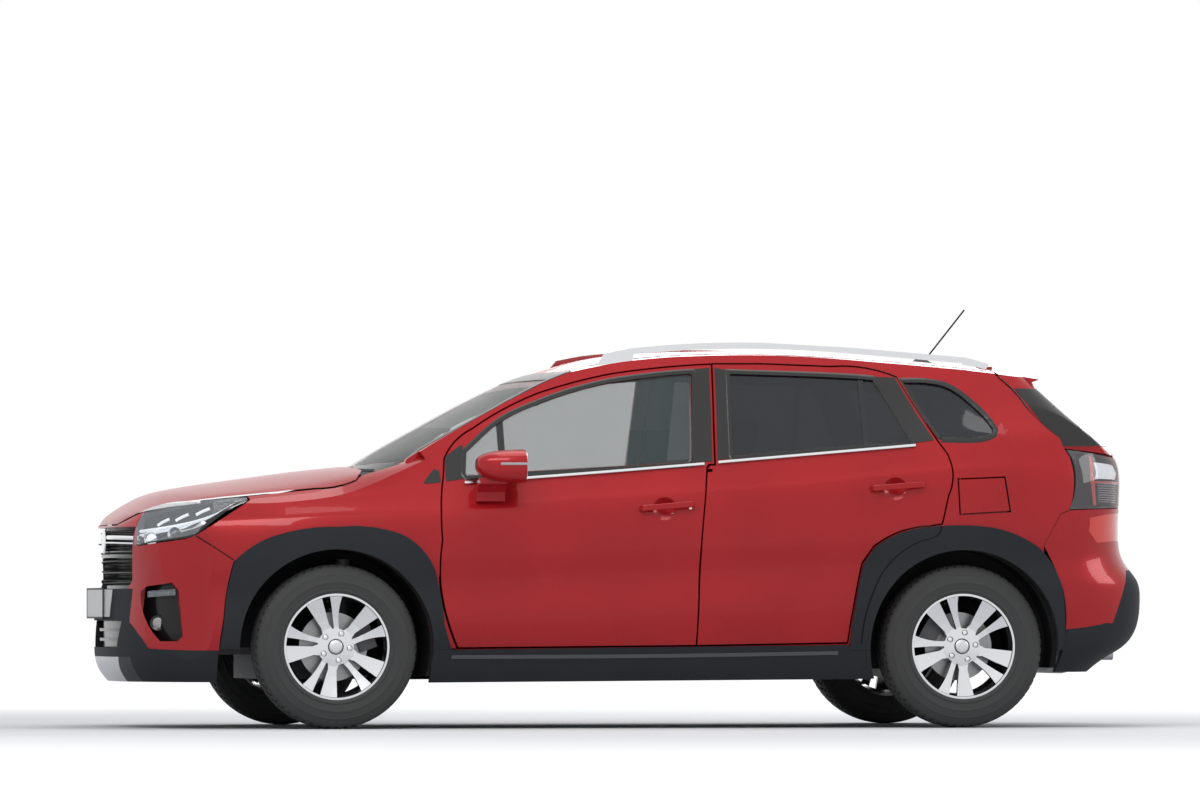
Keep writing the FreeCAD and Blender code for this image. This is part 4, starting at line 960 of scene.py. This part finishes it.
class SUV_OT_grille(bpy.types.Operator):
    """Grille mesh, bars and disc, nose corners, plate holder and the fog lamps' rims and eyes"""
    bl_idname = "suv.grille"
    bl_label = "Grille"

    def execute(self, context):
        grille_parts()
        nose_corners()
        plate_holder("front_plate", "body")
        fog = Skin("grilles").hit((-1.908 + SHIFT - 0.17, -1.35, 0.430), (0.174, 0.985, 0))[0]
        out = (-0.45, -0.89, 0)
        ring = lathe([(0, 4), (20, 5), (26, 9), (31, 10), (34, 6), (35, -12)], fog, 48, out)
        pair(ring, "fog_ring_left", "body", "gloss_black", None, 50)
        eye = lathe([(0, 9), (10, 8.8), (18.5, 7.8), (22.5, 6)], fog, 40, out)
        pair(eye, "fog_eye_left", "body", "lamp_smoke", "lamp_smoke", 60)
        return {"FINISHED"}


def tail_lamps():
    lamp = Hollow("tail_lamps", (2.075, -0.530), (1.820, -0.800))
    back = lamp.sheet([[(0.02, 912), (0.5, 910), (0.96, 908)], [(0.02, 980), (0.5, 980), (0.96, 985)],
                       [(0.02, 1050), (0.5, 1055), (0.94, 1060)], [(0.04, 1096), (0.5, 1112), (0.92, 1128)]],
                      [30, 34, 34, 28], 40)
    pair(back, "tail_bezel_left", "body", "inner_black")
    ribs = []
    for k in range(9):
        line = [(0.10, 924 + 9.5 * k), (0.72, 926 + 9.5 * k)]
        ribs.append(lamp.sheet([line, raised(line, 3), raised(line, 6)], [22, 16, 22], 24, 0.002))
    pair(merge(ribs), "tail_ribs_left", "body", "silver_trim")
    clear = lamp.sheet([[(0.08, 1022), (0.74, 1024)], [(0.08, 1048), (0.74, 1052)],
                        [(0.10, 1078), (0.72, 1092)]], [22, 14, 22], 30, 0.002)
    pair(clear, "tail_flasher_left", "body", "lamp_glow")
    red = lamp.sheet([[(0.05, 1012), (0.78, 1014)], [(0.05, 1008), (0.80, 1010)],
                      [(0.05, 1004), (0.80, 1006)]], [10, 8, 10], 30, 0.002)
    edge = lamp.sheet([[(0.78, 915), (0.79, 1010), (0.76, 1112)], [(0.83, 915), (0.85, 1010), (0.81, 1118)]],
                      [12, 10], 30, 0.002)
    pair(merge([red, edge]), "tail_light_bar_left", "body", "tail_glow")


def gate_covers(gate):
    """Black covers beside the tailgate's glass, from the shut line to the pane."""
    body = Skin("tailgate")
    shut = [(1794, 1151), (1778, 1194), (1707, 1252), (1647, 1332), (1597, 1402)]
    way = Vector((-0.6, 0.8, 0))
    rows = []
    for k in range(31):
        z = 1.160 + 0.238 * k / 30
        x = next(a[0] + (b[0] - a[0]) * (z * 1000 - a[1]) / (b[1] - a[1])
                 for a, b in zip(shut, shut[1:]) if a[1] <= z * 1000 <= b[1]) / 1000 + SHIFT + 0.007
        first = body.left(x - SHIFT, z)
        last = gate.hit((FAR, -0.556 + 0.070 * (z - 1.165) / 0.220, z), FRONT)[0]
        row = [first + Vector((0, -0.0024, 0))]
        row += [gate.at(first.lerp(last, i / 28) - way * 0.3, way, way * -0.0030) for i in range(1, 29)]
        rows.append(fill_gaps(row))
    pair(shell(rows, -way, 0.003), "d_cover_left", "tailgate", "gloss_black")


def rear_wiper(gate):
    pane = Skin("tailgate_glass")
    pivot = gate.back(-0.02, 1.185, 0.012)
    tip = pane.back(-0.30, 1.225, 0.010)
    base = lathe([(0, 12), (12, 11), (18, 7), (20, 0), (20, -12)], pivot, 32, (0.9, 0, 0.43))
    rows = []
    for k in range(20):
        p = pivot.lerp(tip, k / 19)
        found = pane.hit((FAR, p.y, p.z), FRONT)
        x = max(p.x, found[0].x + 0.008) if found else p.x
        wide = 0.011 * (1 - 0.55 * k / 19)
        rows.append([Vector((x + out, p.y, p.z + up)) for out, up in ((0, -wide), (0.006, 0), (0, wide))])
    dress(merge([base, shell(rows, REAR, 0.003)]), "rear_wiper", "tailgate", "black_plastic")


class SUV_OT_tail(bpy.types.Operator):
    """Tail-lamp insides, gate bar, plate holder, high lamp, gate covers, rear wiper and rear skid"""
    bl_idname = "suv.tail"
    bl_label = "Tail"

    def execute(self, context):
        tail_lamps()
        gate = Skin("tailgate", "tailgate_glass")
        rows = across(gate.back, 0.34, 40,
                      ((1.0085, 0.003), (1.012, 0.016), (1.034, 0.016), (1.044, 0.016), (1.050, 0.003)))
        dress(shell(rows, REAR, 0.003), "gate_bar", "tailgate", "chrome")
        plate_holder("rear_plate", "tailgate")
        rows = across(gate.back, 0.15, 20,
                      ((1.4390, -0.001), (1.4395, 0.003), (1.4475, 0.003), (1.4480, -0.001)))
        dress(shell(rows, REAR, 0.002), "high_lamp", "tailgate", "lamp_red", "lamp_red")
        gate_covers(gate)
        rear_wiper(gate)
        sill = Skin("sill_cladding")
        rows = across(lambda y, z, lift: sill.at((FAR, y, z), FRONT, REAR * lift), 0.42, 40,
                      ((0.290, 0.001), (0.296, 0.006), (0.340, 0.006), (0.395, 0.006), (0.402, 0.001)))
        dress(shell(rows, REAR, 0.003), "rear_skid", "body", "silver_trim", "silver_trim")
        return {"FINISHED"}


class SUV_OT_mirrors(bpy.types.Operator):
    """Mirror glass, turn lamp strip and the front doors' lock discs"""
    bl_idname = "suv.mirrors"
    bl_label = "Mirrors"

    def execute(self, context):
        head = Skin("mirror_left")
        low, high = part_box("mirror_left")

        def pane(i, k):
            place = head.at((low.x + 0.6, -1.022 + 0.0105 * k, 1.012 + 0.0135 * i), FRONT)
            return place + REAR * 0.0022 if place and place.x > high.x - 0.012 else None

        pair(shell(grid(9, 17, pane), REAR, 0.002), "mirror_glass_left", DOOR_F, "mirror_face")
        levels = ((-0.0045, 0.0002), (-0.003, 0.0020), (0.0, 0.0020), (0.003, 0.0020), (0.0045, 0.0002))

        def strip(i, k):
            a = math.radians(10 + 4.6 * k)
            way = Vector((-math.cos(a), math.sin(a), 0))
            up, lift = levels[i]
            return head.at(Vector((-0.560 + SHIFT, -0.938, 1.075 + up)) - way * 0.4, way, way * -lift)

        lamp = modify(net(grid(len(levels), 24, strip)), "SOLIDIFY", thickness=0.0015, offset=0)
        pair(lamp, "mirror_lamp_left", DOOR_F, "lamp_smoke")
        place = Skin(DOOR_F).at((0.206 + SHIFT, -1.2, 0.899), RIGHT)
        disc = lathe([(0, 2.2), (5.2, 2.2), (6.4, 1.2), (6.6, -2)], place, 24, LEFT)
        pair(disc, "lock_disc_left", DOOR_F, "chrome", None, 50)
        return {"FINISHED"}


class Screen:
    """The windscreen, met from ahead."""
    out = Vector((-0.45, 0, 0.89))

    def __init__(self):
        self.skin = Skin("windscreen")

    def foot(self, y):
        """Height of the glass's lower edge."""
        return next(0.95 + 0.002 * k for k in range(150) if self.skin.front(y, 0.95 + 0.002 * k))

    def on(self, y, z, lift=0.0016):
        return self.skin.at((-FAR, y, z), REAR, self.out * lift)

    def above(self, y, up, lift=0.0016):
        return self.on(y, self.foot(y) + up, lift)


def front_wipers(screen):
    """Two wipers, each an arm, a longer blade and a pivot."""
    parts = []
    for y0, y1 in ((-0.44, 0.06), (0.02, 0.50)):
        for wide, lift, (ya, ua), (yb, ub) in (
                (0.008, 0.014, (y0, 0.002), ((y0 + y1) / 2, 0.034)),
                (0.005, 0.007, (y0 - 0.03, 0.026), (y1, 0.040))):
            rows = []
            for k in range(24):
                t = k / 23
                p = screen.above(ya + (yb - ya) * t, ua + (ub - ua) * t, lift)
                rows.append([p + Vector((-0.9, 0, -0.45)) * wide, p + Vector((-0.002, 0, 0.004)),
                             p + Vector((0.9, 0, 0.45)) * wide])
            parts.append(shell(rows, screen.out, 0.004))
        parts.append(lathe([(0, 10), (8, 9), (13, 4), (14, -20)], screen.above(y0, 0.002, 0.012), 24,
                           screen.out))
    dress(merge(parts), "wipers", "body", "black_plastic", "black_plastic")


def limit(test, inside, outside):
    """Last value that still meets the glass, on the way out of it."""
    for _ in range(14):
        middle = (inside + outside) / 2
        inside, outside = (middle, outside) if test(middle) else (inside, middle)
    return inside


def screen_border(screen):
    """Black print along the four edges of the windscreen."""
    levels = [1.045 + 0.385 * k / 30 for k in range(31)]
    sides = [limit(lambda y: screen.on(y, z), -0.30, -0.85) for z in levels]
    width = [-0.66 + 1.32 * k / 60 for k in range(61)]
    tops = [limit(lambda z: screen.on(y, z), 1.22, 1.55) for y in width]
    parts = []
    steps = (0.001, 0.011, 0.022, 0.034)
    for rows in ([[screen.on(y + d, z) for y, z in zip(sides, levels)] for d in steps],
                 [[screen.on(-y - d, z) for y, z in zip(sides, levels)] for d in steps],
                 [[screen.above(y, d) for y in width] for d in (0.001, 0.02, 0.04, 0.055)],
                 [[screen.on(y, z - d) for y, z in zip(width, tops)] for d in (0.001, 0.012, 0.024, 0.036)]):
        parts.append(shell([fill_gaps(row) for row in rows], screen.out, 0.002))
    dress(merge(parts), "screen_border", "body", "gloss_black", "gloss_black")


class SUV_OT_top(bpy.types.Operator):
    """Front wipers, the windscreen's black border, roof grooves and the mast's foot"""
    bl_idname = "suv.top"
    bl_label = "Wipers and roof"

    def execute(self, context):
        screen = Screen()
        front_wipers(screen)
        screen_border(screen)
        roof = Skin("roof")
        for name, sign in SIDES:
            rows = [[roof.at((-0.16 + 1.66 * k / 59 + SHIFT, sign * (0.545 + dy), FAR), DOWN, UP * lift)
                     for k in range(60)]
                    for dy, lift in ((-0.006, 0.0004), (-0.004, 0.0018), (0.004, 0.0018), (0.006, 0.0004))]
            dress(shell([fill_gaps(row) for row in rows], UP, 0.002), "roof_groove_" + name, "body",
                  "black_plastic")
        foot = roof.at((1.352 + SHIFT, 0, FAR), DOWN)
        base = lathe([(0, 30), (8, 29), (16, 20), (26, 8), (34, 2), (35, -3)], foot, 40, (-0.05, 0, 1))
        wide = Matrix.Diagonal((1.5, 0.8, 1, 1))
        base.data.transform(Matrix.Translation(foot) @ wide @ Matrix.Translation(-foot))
        dress(base, "mast_foot", "body", "black_plastic", "black_plastic", 60)
        return {"FINISHED"}


class SUV_OT_seam_shades_and_rib(bpy.types.Operator):
    """Painted shade in the seams between wings, sides and bumpers and in the cladding's seam, as dark strips
    laid over the gaps, and the sill's rib
    """
    bl_idname = "suv.seams"
    bl_label = "Seams"

    def execute(self, context):
        # Dark strips over the gaps between wings, sides and bumpers: painted shade of the gaps
        for name, nodes, line in (
                ("front_seam_left", ("front_wings", "front_bumper"),
                 [(-1812, 783), (-1740, 734), (-1670, 686)]),
                ("rear_seam_left", ("body_side_left", "rear_bumper"),
                 [(1792, 891), (1757, 878), (1722, 815), (1684, 750)])):
            lines = [[(x + d, z + d) for x, z in line] for d in (-1.6, 1.6)]
            pair(band(lines, 40, Skin(*nodes), 0.0007, 0.0012), name, "body", "inner_black")
        # Dark strip along the cladding's seam: painted shade of the gap
        line = [(1252, 826), (1246, 800), (1228, 784), (1160, 762), (1080, 715), (1010, 640), (962, 545),
                (930, 440), (918, 345)]
        seam = band([line, [(x - 5, z + 1) for x, z in line]], 90, Skin("arch_cladding"), 0.0012, 0.0015)
        pair(seam, "cladding_seam_left", "body", "inner_black")
        line = [(-780, 285), (0, 288), (820, 300)]
        rib = band([raised(line, k) for k in (0, 4, 11, 15)], 90, Skin("sill_cladding"), 0.0025, 0.003)
        pair(rib, "sill_rib_left", "body", "black_plastic", "black_plastic")
        return {"FINISHED"}


def puff(obj, voxel, held, reach):
    """Lets a pad swell as cloth under pressure, with its seams held and each point's move limited."""
    modify(obj, "REMESH", mode="VOXEL", voxel_size=voxel)
    rest = [v.co.copy() for v in obj.data.vertices]
    group = obj.vertex_groups.new(name="seam")
    group.add([v.index for v in obj.data.vertices if held(v.co)], 1.0, "ADD")
    pick(obj)
    cloth = obj.modifiers.new("cloth", "CLOTH")
    cloth.settings.use_pressure = True
    cloth.settings.uniform_pressure_force = bpy.context.scene.suv_sizes.swell
    cloth.settings.vertex_group_mass = "seam"
    cloth.settings.effector_weights.gravity = 0.0
    cloth.point_cache.frame_start = 1
    cloth.point_cache.frame_end = 20
    for k in range(1, 21):
        bpy.context.scene.frame_set(k)
    bpy.ops.object.modifier_apply(modifier=cloth.name)
    bpy.context.scene.frame_set(1)
    for v, old in zip(obj.data.vertices, rest):
        move = v.co - old
        if move.length > reach:
            v.co = old + move * (reach / move.length)
    obj.vertex_groups.clear()
    return modify(obj, "SUBSURF", levels=1, render_levels=1)


def pad(x, y, z, lean=0.0, pivot=None, taper=0.0, bolster=0.0):
    """Block of a pad, eased at its edges, leaning back about a line along Y."""
    x = (x[0] + SHIFT, x[1] + SHIFT)
    obj = box(x, y, z, 0.03, 4)
    modify(obj, "SUBSURF", levels=1, render_levels=1, subdivision_type="SIMPLE")
    mid = (y[0] + y[1]) / 2
    half = (y[1] - y[0]) / 2
    for v in obj.data.vertices:
        side = abs(v.co.y - mid) / half
        up = (v.co.z - z[0]) / (z[1] - z[0])
        v.co.y = mid + (v.co.y - mid) * (1 - taper * max(up, 0))
        if bolster and side > 0.6:
            if abs(lean) > 0.01:
                v.co.x -= bolster * (side - 0.6) / 0.4 * (1 if v.co.x < (x[0] + x[1]) / 2 else 0)
            else:
                v.co.z += bolster * (side - 0.6) / 0.4 * (1 if up > 0.5 else 0)
    if lean:
        turn = Matrix.Rotation(lean, 4, "Y")
        at = Vector((pivot[0] + SHIFT, 0, pivot[1]))
        obj.data.transform(Matrix.Translation(at) @ turn @ Matrix.Translation(-at))
    return obj


def front_seats():
    y = -0.360
    lean = math.radians(12.3)
    wide = (y - 0.225, y + 0.225)

    def seam(p):
        return abs(abs(p.y - y) - 0.13) < 0.006

    base = pad((-0.19, 0.30), wide, (0.37, 0.485), bolster=0.02)
    puff(base, 0.010, lambda p: seam(p) and p.z > 0.44, 0.022)
    back = pad((0.265, 0.365), wide, (0.45, 1.12), lean, (0.30, 0.47), 0.14, 0.02)
    puff(back, 0.010, lambda p: seam(p) and p.x < 0.30 + (p.z - 0.47) * 0.22 + SHIFT, 0.024)
    head = pad((0.475, 0.555), (y - 0.115, y + 0.115), (1.135, 1.275), lean * 0.7, (0.50, 1.13), 0.1)
    puff(head, 0.007, lambda p: False, 0.012)
    for obj, name in ((base, "seat_base_left"), (back, "seat_back_left"), (head, "head_rest_left")):
        for piece in pair(obj, name, "body", "cloth", "cloth", 60):
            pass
    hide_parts("front_seats")
    parts = [lathe([(5.5, -100), (5.5, 100)], (0.475 + SHIFT, y + dy, 1.13), 12, (0.21, 0, 1))
             for dy in (-0.05, 0.05)]
    parts.append(box((-0.16 + SHIFT, 0.26 + SHIFT), (y - 0.20, y + 0.20), (0.246, 0.372), 0.02))
    pair(merge(parts), "seat_frame_left", "body", "dash_plastic", "dash_plastic")


def rear_seats():
    def seam(p):
        return abs(abs(p.y) - 0.18) < 0.007

    wide = (-0.545, 0.545)
    bench = pad((0.81, 1.17), wide, (0.445, 0.590))
    puff(bench, 0.012, lambda p: seam(p) and p.z > 0.55, 0.022)
    rest = pad((1.165, 1.270), wide, (0.53, 1.11), math.radians(11), (1.2, 0.53))
    puff(rest, 0.012, lambda p: seam(p) and p.x < 1.215 + (p.z - 0.53) * 0.19 + SHIFT, 0.024)
    parts = [(bench, "bench_base"), (rest, "bench_back")]
    for k, y in enumerate((-0.36, 0.0, 0.36)):
        head = pad((1.325, 1.395), (y - 0.105, y + 0.105), (1.125, 1.215), math.radians(8), (1.33, 1.12), 0.1)
        puff(head, 0.007, lambda p: False, 0.010)
        parts.append((head, "rear_head_rest_%d" % (k + 1)))
    for obj, name in parts:
        dress(obj, name, "body", "cloth", "cloth", 60)
    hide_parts("rear_bench")


class SUV_OT_seats(bpy.types.Operator):
    """Padded seats, head rests and the rear bench"""
    bl_idname = "suv.seats"
    bl_label = "Seats"

    def execute(self, context):
        front_seats()
        rear_seats()
        return {"FINISHED"}


class SUV_OT_cabin(bpy.types.Operator):
    """Centre screen, dial hood, centre console, inner mirror and door cards"""
    bl_idname = "suv.cabin"
    bl_label = "Cabin"

    def execute(self, context):
        for name, finish, blocks in (
                ("centre_screen", "gloss_black", [(-0.700, -0.672, (-0.11, 0.11), (0.955, 1.060), 0.006, 2)]),
                ("dial_hood", "dash_plastic", [(-0.66, -0.56, (-0.52, -0.20), (0.955, 1.020), 0.02, 4)]),
                ("centre_console", "dash_plastic", [(-0.70, 0.22, (-0.105, 0.105), (0.40, 0.56), 0.02, 4)]),
                ("inner_mirror", "inner_black",
                 [(-0.355, -0.340, (-0.12, 0.12), (1.335, 1.395), 0.006, 3),
                  (-0.362, -0.350, (-0.012, 0.012), (1.38, 1.425), 0.003, 2)])):
            parts = [box((a + SHIFT, b + SHIFT), y, z, bevel, steps) for a, b, y, z, bevel, steps in blocks]
            dress(merge(parts), name, "body", finish, None if finish == "inner_black" else finish)
        for body, x0, x1, z0, z1 in ((DOOR_F, -0.66, 0.20, 0.42, 0.99), (DOOR_R, 0.40, 1.02, 0.52, 1.05)):
            skin = Skin(body)

            def lining(i, k):
                place = skin.at((x0 + (x1 - x0) * k / 16 + SHIFT, 0.0, z0 + (z1 - z0) * i / 8), LEFT)
                return place + RIGHT * 0.004 if place and place.y < -0.70 else None

            card = modify(face_out(net(grid(9, 17, lining)), RIGHT), "SOLIDIFY", thickness=0.008, offset=1)
            pair(card, body.replace("_left", "_card_left"), body, "dash_plastic", "dash_plastic")
        return {"FINISHED"}


class SuvSizes(bpy.types.PropertyGroup):
    belt_trim: bpy.props.FloatProperty(
        name="Belt trim", description="Height of the bright strip under the windows", default=0.010,
        unit="LENGTH")
    swell: bpy.props.FloatProperty(name="Swell", description="Pressure that fills the seat pads", default=4.0)


class SuvColours(bpy.types.PropertyGroup):
    paint: bpy.props.FloatVectorProperty(
        name="Paint", description="Body colour in the light", default=(0.34, 0.006, 0.010, 1),
        size=4, subtype="COLOR", min=0, max=1)
    paint_dark: bpy.props.FloatVectorProperty(
        name="Paint depth", description="Darker tone within the paint", default=(0.31, 0.005, 0.009, 1),
        size=4, subtype="COLOR", min=0, max=1)
    paint_flake: bpy.props.FloatVectorProperty(
        name="Flake", description="Metal flake in the paint", default=(0.80, 0.08, 0.06, 1),
        size=4, subtype="COLOR", min=0, max=1)


STEPS = [SUV_OT_stage, SUV_OT_finishes, SUV_OT_windows, SUV_OT_tyres, SUV_OT_wheel_parts, SUV_OT_headlamps,
         SUV_OT_grille, SUV_OT_tail, SUV_OT_mirrors, SUV_OT_top, SUV_OT_seam_shades_and_rib, SUV_OT_seats, SUV_OT_cabin]


class SUV_PT_panel(bpy.types.Panel):
    """Lists the car's sizes, colours and steps"""
    bl_idname = "SUV_PT_panel"
    bl_label = "Crossover"
    bl_space_type = "VIEW_3D"
    bl_region_type = "UI"
    bl_category = "Crossover"

    def draw(self, context):
        for group in (context.scene.suv_sizes, context.scene.suv_colours):
            for key in group.__annotations__:
                self.layout.prop(group, key)
        for step in STEPS:
            self.layout.operator(step.bl_idname)


CLASSES = [SuvSizes, SuvColours] + STEPS + [SUV_PT_panel]


def register():
    for cls in CLASSES:
        bpy.utils.register_class(cls)
    bpy.types.Scene.suv_sizes = bpy.props.PointerProperty(type=SuvSizes)
    bpy.types.Scene.suv_colours = bpy.props.PointerProperty(type=SuvColours)


def unregister():
    del bpy.types.Scene.suv_colours
    del bpy.types.Scene.suv_sizes
    for cls in reversed(CLASSES):
        bpy.utils.unregister_class(cls)


def main():
    register()
    for step in STEPS:
        area, name = step.bl_idname.split(".")
        getattr(getattr(bpy.ops, area), name)()


if __name__ == "__main__":
    main()
